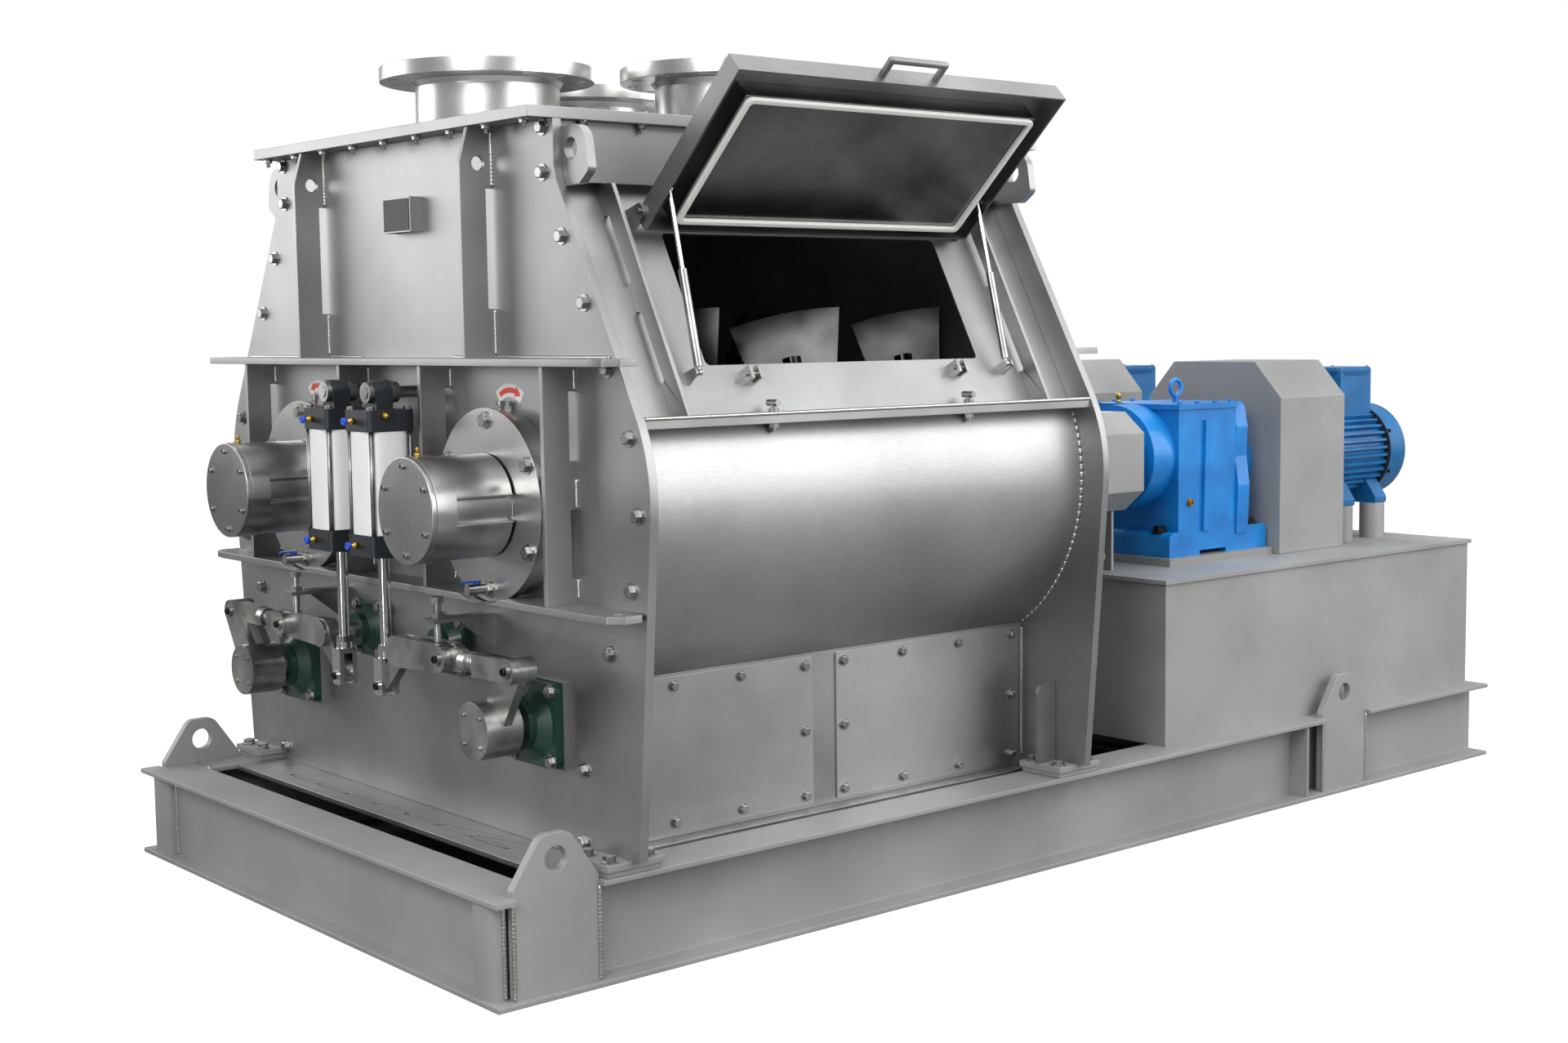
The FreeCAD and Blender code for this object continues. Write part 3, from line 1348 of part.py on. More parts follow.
def lid_shell():
    """The folded lid with its hinge bosses, strut studs and bow handle."""
    half = lid_half_length
    low = -lid_below_opening
    high = lid_above_opening
    tray = box(-half, half, low, high, lid_standoff, lid_outer_face)
    tray = tray.cut(box(-half + lid_sheet, half - lid_sheet, low + lid_sheet, high - lid_sheet, lid_standoff,
                        lid_outer_face - lid_sheet))
    for side in (-1, 1):
        inner = half - lid_sheet - 8
        edges = sorted((side * inner, side * (half - lid_sheet)))
        tray = tray.fuse(bar_x(hinge_up, hinge_out, hinge_boss_radius, edges[0], edges[1]).common(
            box(-half, half, low, high, lid_standoff, lid_outer_face)))
        edges = sorted((side * inner, side * half))
        tray = tray.cut(bar_x(hinge_up, hinge_out, hinge_pin_radius + running_clearance, edges[0], edges[1]))
        stud_end = strut_offset + strut_eye_length / 2 + side_gap
        edges = sorted((side * stud_end, side * (half - lid_sheet)))
        tray = tray.fuse(bar_x(-strut_head_down, strut_head_out, strut_pin_radius + 1, edges[0], edges[1]))
    middle_out = lid_outer_face - lid_depth / 2
    reach = low - handle_reach
    bow = bar_x(reach, middle_out, handle_radius, -handle_span / 2, handle_span / 2)
    for side in (-1, 1):
        bow = bow.fuse(bar_y(side * handle_span / 2, middle_out, handle_radius, reach, low))
        bow = bow.fuse(Part.makeSphere(handle_radius, V(side * handle_span / 2, reach, middle_out)))
    return [opened(on_slope(tray.fuse(bow)))]


def lid_window():
    """The inner pan of the lid, a shallow box that carries the gasket."""
    half = opening_half_length + window_margin
    low = -opening_drop - window_margin + 2
    high = window_margin - 2
    skin = lid_outer_face - lid_sheet
    pan = box(-half, half, low, high, lid_standoff, skin)
    pan = pan.cut(box(-half + window_sheet, half - window_sheet, low + window_sheet, high - window_sheet,
                      lid_standoff + window_sheet, skin))
    return [opened(on_slope(pan))]


def lid_gasket():
    """The raised gasket frame that seals around the opening."""
    half = opening_half_length + gasket_margin
    low = -opening_drop - gasket_margin
    high = gasket_margin
    outer = [(-half - gasket_width, low - gasket_width, 14.0), (half + gasket_width, low - gasket_width, 14.0),
             (half + gasket_width, high + gasket_width, 14.0), (-half - gasket_width, high + gasket_width, 14.0)]
    inner = [(-half, low, 8.0), (half, low, 8.0), (half, high, 8.0), (-half, high, 8.0)]
    ring = plate_z(outer, gasket_gap, lid_standoff).cut(plate_z(inner, gasket_gap, lid_standoff))
    return [opened(on_slope(ring))]


def hatch_hardware():
    """Hinge brackets with their pins, strut feet and the clamp blocks, all on the hatch panel."""
    pieces = []
    for side in (-1, 1):
        inner = lid_half_length + side_gap
        edges = sorted((side * inner, side * (inner + hinge_bracket_thickness)))
        up = hinge_up
        outline = [(up - 26, 0), (up + 26, 0), (up + hinge_boss_radius, hinge_out + hinge_boss_radius, 12.0),
                   (up - hinge_boss_radius, hinge_out + hinge_boss_radius, 12.0)]
        bracket = plate_x(outline, edges[0], edges[1])
        pin_edges = sorted((side * (lid_half_length - lid_sheet - 8), side * (inner + hinge_bracket_thickness + 6)))
        pin = bar_x(hinge_up, hinge_out, hinge_pin_radius, pin_edges[0], pin_edges[1])
        pieces.append(bracket.fuse(pin))
        foot_inner = strut_offset + strut_tube_radius + 1
        edges = sorted((side * foot_inner, side * (foot_inner + 4)))
        outline = [(-strut_foot_down - 14, 0), (-strut_foot_down + 14, 0),
                   (-strut_foot_down + 8, strut_foot_out + 8, 6.0), (-strut_foot_down - 8, strut_foot_out + 8, 6.0)]
        foot = plate_x(outline, edges[0], edges[1])
        pin_edges = sorted((side * (strut_offset - strut_eye_length / 2), side * foot_inner))
        pieces.append(foot.fuse(bar_x(-strut_foot_down, strut_foot_out, strut_pin_radius, pin_edges[0],
                                      pin_edges[1])))
        centre = side * clamp_block_offset
        size = clamp_block_size
        low = -clamp_block_down - size / 2
        high = low + size
        block = box(centre - size / 2, centre + size / 2, low, high, 0, size + 4)
        block = block.cut(box(centre - size / 4, centre + size / 4, low, high, 8, size + 4))
        pin = bar_x((low + high) / 2, size * 0.7, 5.0, centre - size / 2 - 6, centre + size / 2 + 6)
        pieces.append(block.fuse(pin))
    return [on_slope(piece) for piece in pieces]


def strut_ends():
    """The (y, z) of a strut's foot and head with the lid open."""
    return slope_point(-strut_foot_down, strut_foot_out), opened_point(-strut_head_down, strut_head_out)


def place_strut(shape, side):
    """Stand a strut built along +Y from its foot onto its two end points."""
    foot, head = strut_ends()
    turn = math.degrees(math.atan2(head[1] - foot[1], head[0] - foot[0]))
    shape.rotate(V(0, 0, 0), ABOUT_X, turn)
    shape.translate(V(body_middle + side * strut_offset, foot[0], foot[1]))
    return shape


def strut_tube(side):
    """A gas strut's tube with the eye at its foot."""
    half = strut_eye_length / 2
    tube = bar_y(0, 0, strut_tube_radius, 12, strut_tube_length)
    tube = tube.cut(bar_y(0, 0, strut_tube_bore, 20, strut_tube_length - 8))
    tube = tube.cut(bar_y(0, 0, strut_rod_radius + running_clearance, strut_tube_length - 8, strut_tube_length))
    eye = bar_x(0, 0, strut_eye_radius, -half, half).fuse(bar_y(0, 0, 4.0, 0, 12))
    eye = eye.cut(bar_x(0, 0, strut_pin_radius + running_clearance, -half, half))
    return place_strut(tube.fuse(eye), side)


def strut_rod(side):
    """A gas strut's rod with its piston and the eye at its head."""
    foot, head = strut_ends()
    length = math.hypot(head[0] - foot[0], head[1] - foot[1])
    half = strut_eye_length / 2
    start = strut_tube_length - 40
    rod = bar_y(0, 0, strut_rod_radius, start, length - strut_eye_radius + 2)
    rod = rod.fuse(bar_y(0, 0, strut_tube_bore - running_clearance, start, start + 10))
    eye = bar_x(length, 0, strut_eye_radius, -half, half)
    return place_strut(rod.fuse(eye).cut(bar_x(length, 0, strut_pin_radius, -half, half)), side)


def clamp_screw(side):
    """A screw through the ledge with a tee head, a collar and a nut below."""
    x = body_middle + side * clamp_screw_offset
    y = -clamp_screw_half_width
    screw = bar_z(x, y, clamp_screw_radius, clamp_screw_bottom, clamp_screw_top - 6)
    screw = screw.fuse(bar_z(x, y, 11.0, ledge_top + layer_gap, ledge_top + 9))
    screw = screw.fuse(bar_y(x, clamp_screw_top - 7, 7.0, y - 16, y + 16))
    return screw.fuse(hexagon_z(x, y, 11.0, ledge_bottom - 10, ledge_bottom - layer_gap))


def seal_valve_axis():
    """The (y, z) of the +Y purge valve, above the lower flange."""
    return rotor_offset, lower_flange_top + valve_body_radius + 4


def seal_valves():
    """Purge valves screwed into the bearing housings' flanges, and vent stubs above the seal rings."""
    y, z = seal_valve_axis()
    body = bar_x(y, z, valve_body_radius, housing_end - valve_length, housing_end - 8)
    body = body.fuse(bar_x(y, z, valve_stub_radius, housing_end - 8, housing_end))
    stem = bar_z(housing_end - valve_stem_inset, y, valve_stem_radius, z, z + valve_body_radius + 8)
    x = front_outer - seal_ring_length / 2
    stub_low = rotor_height + seal_ring_radius - 3
    stub = bar_z(x, y, valve_stub_radius, stub_low, stub_low + 22)
    stub = stub.cut(bar_x(rotor_offset, rotor_height, seal_ring_radius, front_outer - seal_ring_length, front_outer))
    stub = stub.fuse(bar_z(x, y, valve_stub_radius + 3, stub_low + 14, stub_low + 24))
    return both_sides([body.fuse(stem), stub])


def valve_handle():
    """The lever handle of the +Y purge valve, free to turn on its stem."""
    y, z = seal_valve_axis()
    x = housing_end - valve_stem_inset
    low = z + valve_body_radius + layer_gap
    boss = bar_z(x, y, 8.0, low, low + 7)
    lever = [(x - 38, y - 6, 4.0), (x, y - 6), (x, y + 6), (x - 38, y + 6, 4.0)]
    grip = plate_z(lever, low + 3, low + 7)
    return boss.fuse(grip).cut(bar_z(x, y, valve_stem_radius + running_clearance, low, low + 7))


def drive_box():
    """The sheet box under the drives: four walls, a top plate with a lip, and the motor posts."""
    walls = box(box_front, box_back, -box_half_width, box_half_width, skid_height, box_top - box_top_thickness)
    walls = walls.cut(box(box_front + box_sheet, box_back - box_sheet, -box_half_width + box_sheet,
                          box_half_width - box_sheet, skid_height, box_top - box_top_thickness))
    top = box(box_front - box_lip, box_back + box_lip, -box_half_width - box_lip, box_half_width + box_lip,
              box_top - box_top_thickness, box_top)
    pieces = [walls, top]
    for side in (-1, 1):
        for x in (post_front_x, post_back_x):
            for across in (-post_offset, post_offset):
                pieces.append(bar_z(x, side * rotor_offset + across, post_radius, box_top, post_top))
        bracket_x = guard_back - 46
        y_low = side * rotor_offset - guard_half_width * 0.6
        y_high = side * rotor_offset + guard_half_width * 0.6
        pieces.append(box(bracket_x, bracket_x + 8, y_low, y_high, box_top, rotor_height - guard_half_height))
    return pieces


def gearbox():
    """The +Y gearbox on its base plate: feet, ribbed body, lid, bell, output hub and eyebolt."""
    y = rotor_offset
    half = gear_half_width
    plate = box(base_front, base_back, y - base_half_width, y + base_half_width, box_top, base_top)
    foot_top_z = base_top + gear_foot_height
    foot = [(gear_foot_front, base_top), (gear_foot_back, base_top), (gear_foot_back, foot_top_z, 18.0),
            (gear_foot_front, foot_top_z, 18.0)]
    body = plate_y(foot, y - half, y + half)
    body = body.cut(box(gear_body_front + 90, gear_body_back - 40, y - half, y + half, base_top, base_top + 12))
    body = body.fuse(box(gear_body_front, gear_body_back, y - half, y + half, foot_top_z - 30, gear_body_top))
    lid = box(gear_body_front - 6, gear_body_back, y - half - 5, y + half + 5, gear_body_top,
              gear_body_top + gear_lid_thickness)
    bell = [(y - half - 4, foot_top_z - 20), (y + half + 4, foot_top_z - 20), (y + half + 10, 830.0, 40.0),
            (y + half - 2, 910.0, 40.0), (y + half + 2, 990.0, 30.0), (y + half - 12, 1058.0, 20.0),
            (y - half + 12, 1058.0, 20.0), (y - half - 2, 990.0, 30.0), (y - half + 2, 910.0, 40.0),
            (y - half - 10, 830.0, 40.0)]
    body = body.fuse(lid).fuse(plate_x(bell, gear_body_back, gear_bell_back))
    nose = bar_x(y, motor_height, 95.0, gear_bell_back, belt_guard_front)
    hub = bar_x(y, rotor_height, gear_hub_radius, gear_hub_front, gear_body_front)
    hub = hub.fuse(bar_x(y, rotor_height, gear_nose_radius, gear_nose_front, gear_hub_front))
    body = body.fuse(nose).fuse(hub)
    for side in (-1, 1):
        rib = [(gear_body_front + 95, foot_top_z), (gear_body_front + 130, foot_top_z),
               (gear_body_front + 112, gear_body_top - 30), (gear_body_front + 104, gear_body_top - 30)]
        edges = sorted((y + side * half, y + side * (half + 9)))
        body = body.fuse(plate_y(rib, edges[0], edges[1]))
    bore = bar_x(y, rotor_height, shaft_end_radius + running_clearance, gear_nose_front,
                 gear_nose_front + gear_bore_depth)
    body = body.cut(bore)
    lid_top = gear_body_top + gear_lid_thickness
    eye_x = (gear_body_front + gear_body_back) / 2 + 50
    eye = Part.makeTorus(eyebolt_radius, eyebolt_wire, V(eye_x, y, lid_top + eyebolt_height), V(0, 1, 0))
    eye = eye.fuse(bar_z(eye_x, y, 8.0, lid_top, lid_top + eyebolt_height - eyebolt_radius))
    return [plate, body.fuse(eye)]


def eight_sided(y_centre, z_centre, inset):
    """Corners of the coupling guard's eight-sided section."""
    across = guard_half_width - inset
    high = guard_half_height - inset
    cut_y = guard_chamfer_width
    cut_z = guard_chamfer_height
    return [(y_centre - across, z_centre - high + cut_z), (y_centre - across + cut_y, z_centre - high),
            (y_centre + across - cut_y, z_centre - high), (y_centre + across, z_centre - high + cut_z),
            (y_centre + across, z_centre + high - cut_z), (y_centre + across - cut_y, z_centre + high),
            (y_centre - across + cut_y, z_centre + high), (y_centre - across, z_centre + high - cut_z)]


def coupling_guards():
    """Eight-sided sheet guards over the output couplings."""
    y = rotor_offset
    sheet = guard_sheet_thickness
    guard = plate_x(eight_sided(y, rotor_height, 0), guard_front, guard_back)
    guard = guard.cut(plate_x(eight_sided(y, rotor_height, sheet), guard_front + sheet, guard_back - sheet))
    hole = bar_x(y, rotor_height, shaft_end_radius + 8, guard_front, guard_back)
    return both_sides([guard.cut(hole)])


def belt_guards():
    """Tall sheet guards over the drive between motor and gearbox, open at the bottom."""
    sheet = guard_sheet_thickness
    outlines = []
    for inset in (0.0, sheet):
        low = belt_guard_inner + inset
        high = belt_guard_outer - inset
        top = belt_guard_top - inset
        outlines.append([(low, box_top), (high, box_top), (high, top - belt_chamfer_height),
                         (high - belt_chamfer_width, top), (low + belt_chamfer_width, top),
                         (low, top - belt_chamfer_height)])
    guard = plate_x(outlines[0], belt_guard_front, belt_guard_back)
    guard = guard.cut(plate_x(outlines[1], belt_guard_front + sheet, belt_guard_back - sheet))
    return both_sides([guard])


def motor():
    """The +Y motor: end shield, finned body, cowl, terminal box and feet on the posts."""
    y = rotor_offset
    z = motor_height
    front = belt_guard_back
    body_start = front + motor_shield_length
    shield = bar_x(y, z, motor_shield_radius, front, body_start)
    corners = []
    for index in range(motor_fin_count):
        middle = 2 * math.pi * (index + 0.5) / motor_fin_count
        for lean, radius in ((-0.62, motor_body_radius), (-0.30, motor_fin_radius), (0.30, motor_fin_radius),
                             (0.62, motor_body_radius)):
            turn = middle + lean * math.pi / motor_fin_count
            corners.append((y + radius * math.cos(turn), z + radius * math.sin(turn)))
    body = plate_x(corners, body_start, motor_body_end)
    cowl = bar_x(y, z, cowl_radius, motor_body_end, cowl_end - cowl_round)
    dome = Part.makeCone(cowl_radius, cowl_radius - cowl_round, cowl_round, V(cowl_end - cowl_round, y, z), ABOUT_X)
    cowl = cowl.fuse(dome)
    terminal = [(terminal_front, z + motor_body_radius - 12), (terminal_back, z + motor_body_radius - 12),
                (terminal_back, terminal_top, 10.0), (terminal_front, terminal_top, 10.0)]
    terminal_solid = plate_y(terminal, y - terminal_half_width, y + terminal_half_width)
    solid = shield.fuse(body).fuse(cowl).fuse(terminal_solid)
    for x in (post_front_x, post_back_x):
        outline = [(y - post_offset - 30, post_top, 4.0), (y + post_offset + 30, post_top, 4.0),
                   (y + post_offset + 30, post_top + motor_foot_thickness, 4.0), (y + 80, z - 60),
                   (y - 80, z - 60), (y - post_offset - 30, post_top + motor_foot_thickness, 4.0)]
        solid = solid.fuse(plate_x(outline, x - 28, x + 28))
    return solid


def main():
    """Build every node and write it."""
    os.makedirs("parts", exist_ok=True)
    save("skid_side_beams", both_sides([side_beam()]))
    save("skid_cross_beams", cross_beams())
    save("lifting_lugs", lifting_lugs())
    save("mounting_feet", mounting_feet())
    save("front_end_plate", [end_plate(front_outer, front_inner)])
    save("drive_end_plate", [end_plate(back_inner, back_outer)])
    save("end_plate_stiffeners", end_plate_stiffeners())
    save("trough_shell", trough_shell())
    save("upper_side_walls", both_sides([upper_side_wall()]))
    save("side_panels", side_panels())
    save("side_ledges", side_ledges())
    save("panel_fins", panel_fins())
    save("lower_housing", lower_housing())
    save("access_panels", access_panels())
    save("discharge_flange", discharge_flange())
    save("top_cover", top_cover())
    save("inlet_nozzles", [inlet_nozzle(x, y) for x, y in inlet_places()])
    save("lifting_ears", lifting_ears())
    save("nameplate", nameplate())
    save("seal_flanges", seal_flanges())
    save("bearing_housings", bearing_housings())
    save("shaft_bearings", shaft_bearings())
    save("bearing_guards", bearing_guards())
    near_paddles = paddles()
    near_shaft = rotor_shaft()
    save("rotor_shaft_left", [near_shaft])
    save("rotor_shaft_right", [other_side(near_shaft)])
    save("paddles_left", near_paddles)
    save("paddles_right", [other_side(piece) for piece in near_paddles])
    save("flange_bearings", flange_bearings())
    leaf = door_leaf()
    save("door_leaf_left", [other_side(leaf)])
    save("door_leaf_right", [leaf])
    save("door_lever_left", [other_side(door_body_shaft(False))])
    save("door_lever_right", [door_body_shaft(True)])
    save("bellcrank_left", [other_side(bellcrank(True))])
    save("bellcrank_right", [bellcrank(False)])
    save("link_left", [other_side(link(True))])
    save("link_right", [link(False)])
    save("stop_brackets", stop_brackets())
    save("cylinder_hangers", cylinder_hangers())
    far_cylinder = air_cylinder()
    far_rod = piston_rod()
    save("air_cylinder_left", [other_side(piece) for piece in far_cylinder])
    save("air_cylinder_right", far_cylinder)
    save("piston_rod_left", [other_side(piece) for piece in far_rod])
    save("piston_rod_right", far_rod)
    save("lid_shell", lid_shell())
    save("lid_window", lid_window())
    save("lid_gasket", lid_gasket())
    save("hatch_hardware", hatch_hardware())
    for name, side in (("front", -1), ("back", 1)):
        save("strut_tube_" + name, [strut_tube(side)])
        save("strut_rod_" + name, [strut_rod(side)])
        save("clamp_screw_" + name, [clamp_screw(side)])
    save("seal_valves", seal_valves())
    handle = valve_handle()
    save("valve_handle_left", [other_side(handle)])
    save("valve_handle_right", [handle])
    save("drive_box", drive_box())
    save("gearboxes", both_sides(gearbox()))
    save("coupling_guards", coupling_guards())
    save("belt_guards", belt_guards())
    save("motors", both_sides([motor()]))


main()
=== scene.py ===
"""Looks of a twin-shaft fluidized zone mixer on a welded skid, in metres, in the frame of the model."""

import math

import bpy
import numpy as np
from mathutils import Matrix


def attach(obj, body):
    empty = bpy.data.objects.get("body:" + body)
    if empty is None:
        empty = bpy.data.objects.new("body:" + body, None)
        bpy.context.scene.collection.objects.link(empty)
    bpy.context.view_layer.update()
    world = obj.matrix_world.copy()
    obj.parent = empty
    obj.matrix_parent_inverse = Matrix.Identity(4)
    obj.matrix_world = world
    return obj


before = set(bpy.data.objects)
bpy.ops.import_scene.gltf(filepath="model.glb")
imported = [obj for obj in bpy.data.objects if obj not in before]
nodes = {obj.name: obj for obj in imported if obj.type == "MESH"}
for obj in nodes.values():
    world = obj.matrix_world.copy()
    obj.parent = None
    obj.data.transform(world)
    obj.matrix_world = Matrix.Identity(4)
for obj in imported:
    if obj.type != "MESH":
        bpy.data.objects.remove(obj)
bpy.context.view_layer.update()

# Camera
# It stands at the front corner on the hatch side, a little under the height of the cover, and looks
# along the mixer towards the drives with a normal lens.
view_azimuth, view_pitch, view_roll = math.radians(-40.03), math.radians(-5.369), math.radians(-0.764)
ahead = np.array([-math.sin(view_azimuth) * math.cos(view_pitch), math.cos(view_azimuth) * math.cos(view_pitch),
                  math.sin(view_pitch)])
level = np.array([math.cos(view_azimuth), math.sin(view_azimuth), 0.0])
upright = np.cross(level, ahead)
right = level * math.cos(view_roll) + upright * math.sin(view_roll)
up = upright * math.cos(view_roll) - level * math.sin(view_roll)
camera = bpy.data.objects.new("camera", bpy.data.cameras.new("camera"))
camera.data.lens = 46.63
camera.data.sensor_width = 36.0
camera.data.clip_end = 60.0
camera.matrix_world = Matrix([[right[0], up[0], -ahead[0], -3.65593], [right[1], up[1], -ahead[1], -3.99792],
                              [right[2], up[2], -ahead[2], 1.26680], [0, 0, 0, 1]])
bpy.context.scene.collection.objects.link(camera)
bpy.context.scene.camera = camera
bpy.context.scene.view_settings.view_transform = "Standard"


# Floor, backdrop and studio lamps
# A plain pale floor and a white surround, lit by large soft boxes: one along the hatch side, one from
# above, two on the front plate, a low strip that draws lines on the round rods, and a weak one behind.
def linear(colour):
    """Linear colour of an sRGB hex value: each channel is the inverse of the sRGB curve."""
    channels = np.array([int(colour[i:i + 2], 16) for i in (1, 3, 5)]) / 255
    curved = np.where(channels <= 0.04045, channels / 12.92, ((channels + 0.055) / 1.055) ** 2.4)
    return (*curved.tolist(), 1.0)


def add(tree, kind, inputs=None, links=None, **settings):
    """Adds one node to a tree, sets its attributes and sockets, and links outputs into its inputs."""
    node = tree.nodes.new(kind)
    for key, value in settings.items():
        setattr(node, key, value)
    for key, value in (inputs or {}).items():
        node.inputs[key].default_value = value
    for key, source in (links or {}).items():
        tree.links.new(source, node.inputs[key])
    return node


def surface(name, vertices, faces, smooth=False):
    """A mesh object from arrays of vertices and equal-sided faces, added to the scene."""
    mesh = bpy.data.meshes.new(name)
    faces = [np.asarray(group) for group in faces]
    mesh.vertices.add(len(vertices))
    mesh.vertices.foreach_set("co", np.asarray(vertices, np.float32).ravel())
    corners = np.concatenate([group.ravel() for group in faces])
    totals = np.concatenate([np.full(len(group), group.shape[1]) for group in faces])
    mesh.loops.add(len(corners))
    mesh.loops.foreach_set("vertex_index", corners.astype(np.int32))
    mesh.polygons.add(len(totals))
    mesh.polygons.foreach_set("loop_start", (np.cumsum(totals) - totals).astype(np.int32))
    mesh.polygons.foreach_set("loop_total", totals.astype(np.int32))
    mesh.polygons.foreach_set("use_smooth", np.full(len(totals), smooth))
    mesh.update()
    mesh.validate()
    made = bpy.data.objects.new(name, mesh)
    bpy.context.scene.collection.objects.link(made)
    return made


floor_paint = bpy.data.materials.new("pale_floor")
floor_paint.use_nodes = True
floor_tree = floor_paint.node_tree
shader = floor_tree.nodes["Principled BSDF"]
shader.inputs["Base Color"].default_value = linear("#7c7c7b")
shader.inputs["Roughness"].default_value = 0.9
shader.inputs["Emission Color"].default_value = linear("#ffffff")
# the floor is lifted to white for the camera, but not under the skid, whose bays are left dark as painted shade
floor_rays = add(floor_tree, "ShaderNodeLightPath")
floor_place = add(floor_tree, "ShaderNodeTexCoord")
floor_axes = add(floor_tree, "ShaderNodeSeparateXYZ", {}, {"Vector": floor_place.outputs["Object"]})
far_x = add(floor_tree, "ShaderNodeMath", {}, {0: floor_axes.outputs["X"]}, operation="ABSOLUTE")
far_y = add(floor_tree, "ShaderNodeMath", {}, {0: floor_axes.outputs["Y"]}, operation="ABSOLUTE")
past_x = add(floor_tree, "ShaderNodeMath", {1: 1.65}, {0: far_x.outputs[0]}, operation="SUBTRACT")
past_y = add(floor_tree, "ShaderNodeMath", {1: 0.77}, {0: far_y.outputs[0]}, operation="SUBTRACT")
past = add(floor_tree, "ShaderNodeMath", {}, {0: past_x.outputs[0], 1: past_y.outputs[0]}, operation="MAXIMUM")
unshaded_floor = add(floor_tree, "ShaderNodeMapRange", {"From Min": 0.0, "From Max": 0.05, "To Max": 0.95},
              {"Value": past.outputs[0]})
lift = add(floor_tree, "ShaderNodeMath", {}, {0: floor_rays.outputs["Is Camera Ray"], 1: unshaded_floor.outputs["Result"]},
           operation="MULTIPLY")
floor_tree.links.new(lift.outputs[0], shader.inputs["Emission Strength"])
floor = surface("floor", [(-30, -30, 0), (30, -30, 0), (30, 30, 0), (-30, 30, 0)], [[(0, 1, 2, 3)]])
floor.data.materials.append(floor_paint)

world = bpy.data.worlds.new("studio")
bpy.context.scene.world = world
world.use_nodes = True
sky = world.node_tree
background = sky.nodes["Background"]
background.inputs["Color"].default_value = linear("#ffffff")
rays = add(sky, "ShaderNodeLightPath")
shown = add(sky, "ShaderNodeMath", {}, {0: rays.outputs["Is Camera Ray"], 1: rays.outputs["Is Transmission Ray"]},
            operation="MAXIMUM")
glossy = add(sky, "ShaderNodeMath", {1: 0.40}, {0: rays.outputs["Is Glossy Ray"]}, operation="MULTIPLY")
seen = add(sky, "ShaderNodeMath", {}, {0: shown.outputs[0], 1: glossy.outputs[0]}, operation="MAXIMUM")
strength = add(sky, "ShaderNodeMath", {1: 0.34}, {0: seen.outputs[0]}, operation="MAXIMUM")
sky.links.new(strength.outputs[0], background.inputs["Strength"])

for name, spot, aim, size, power in (
        ("side", (2.3, -5.2, 3.0), (-0.3, -0.3, 0.9), (8.4, 4.0), 285),
        ("top", (0.3, -0.4, 5.6), (-0.2, 0.0, 1.0), (9.0, 7.0), 315),
        ("front_high", (-4.3, 5.2, 2.5), (-1.4, 0.0, 1.4), (5.0, 2.6), 108),
        ("front", (-5.0, -3.0, 3.6), (-1.4, 0.0, 1.3), (2.4, 2.0), 135),
        ("low", (-4.7, -1.3, 0.75), (-1.5, 0.0, 0.75), (0.5, 1.1), 16),
        ("back", (3.8, 4.6, 3.0), (0.4, 0.0, 0.8), (3.0, 2.0), 110)):
    lamp = bpy.data.objects.new("lamp_" + name, bpy.data.lights.new("lamp_" + name, "AREA"))
    lamp.data.shape = "RECTANGLE"
    lamp.data.size, lamp.data.size_y = size
    lamp.data.energy = power
    back_way = np.array(spot) - np.array(aim)
    back_way /= np.linalg.norm(back_way)
    across = np.cross((0, 0, 1), back_way)
    across /= np.linalg.norm(across)
    over = np.cross(back_way, across)
    lamp.matrix_world = Matrix([[across[i], over[i], back_way[i], spot[i]] for i in range(3)] + [[0, 0, 0, 1]])
    bpy.context.scene.collection.objects.link(lamp)


# Skid frame
# Hot rolled H beams, lifting lugs and the sheet box under the drives, welded, blasted and sprayed with
# a satin grey paint that carries a little metal flake. The feet are the same plate.
def sprayed_grey(name, colour, roughness):
    """Grey machine paint over blasted steel: fine orange peel, soft tone drift and rubbed spots."""
    paint = bpy.data.materials.new(name)
    paint.use_nodes = True
    tree = paint.node_tree
    shader = tree.nodes["Principled BSDF"]
    place = add(tree, "ShaderNodeTexCoord")
    # the tone drifts in patches of about 450 mm
    drift = add(tree, "ShaderNodeTexNoise", {"Scale": 2.2, "Detail": 5.0, "Roughness": 0.55},
                {"Vector": place.outputs["Object"]})
    tone = add(tree, "ShaderNodeValToRGB", {}, {"Fac": drift.outputs["Fac"]})
    base = np.array(linear(colour))
    tone.color_ramp.elements[0].position = 0.34
    tone.color_ramp.elements[0].color = (*(base[:3] * 0.84).tolist(), 1)
    tone.color_ramp.elements[1].position = 0.66
    tone.color_ramp.elements[1].color = (*np.minimum(base[:3] * 1.12, 1).tolist(), 1)
    # orange peel is about 1.5 mm across
    peel = add(tree, "ShaderNodeTexNoise", {"Scale": 420.0, "Detail": 2.0}, {"Vector": place.outputs["Object"]})
    relief = add(tree, "ShaderNodeBump", {"Strength": 0.18, "Distance": 0.0006}, {"Height": peel.outputs["Fac"]})
    gloss = add(tree, "ShaderNodeMapRange", {"To Min": roughness - 0.06, "To Max": roughness + 0.1},
                {"Value": drift.outputs["Fac"]})
    tree.links.new(tone.outputs["Color"], shader.inputs["Base Color"])
    tree.links.new(gloss.outputs["Result"], shader.inputs["Roughness"])
    tree.links.new(relief.outputs["Normal"], shader.inputs["Normal"])
    shader.inputs["Metallic"].default_value = 0.2
    return paint


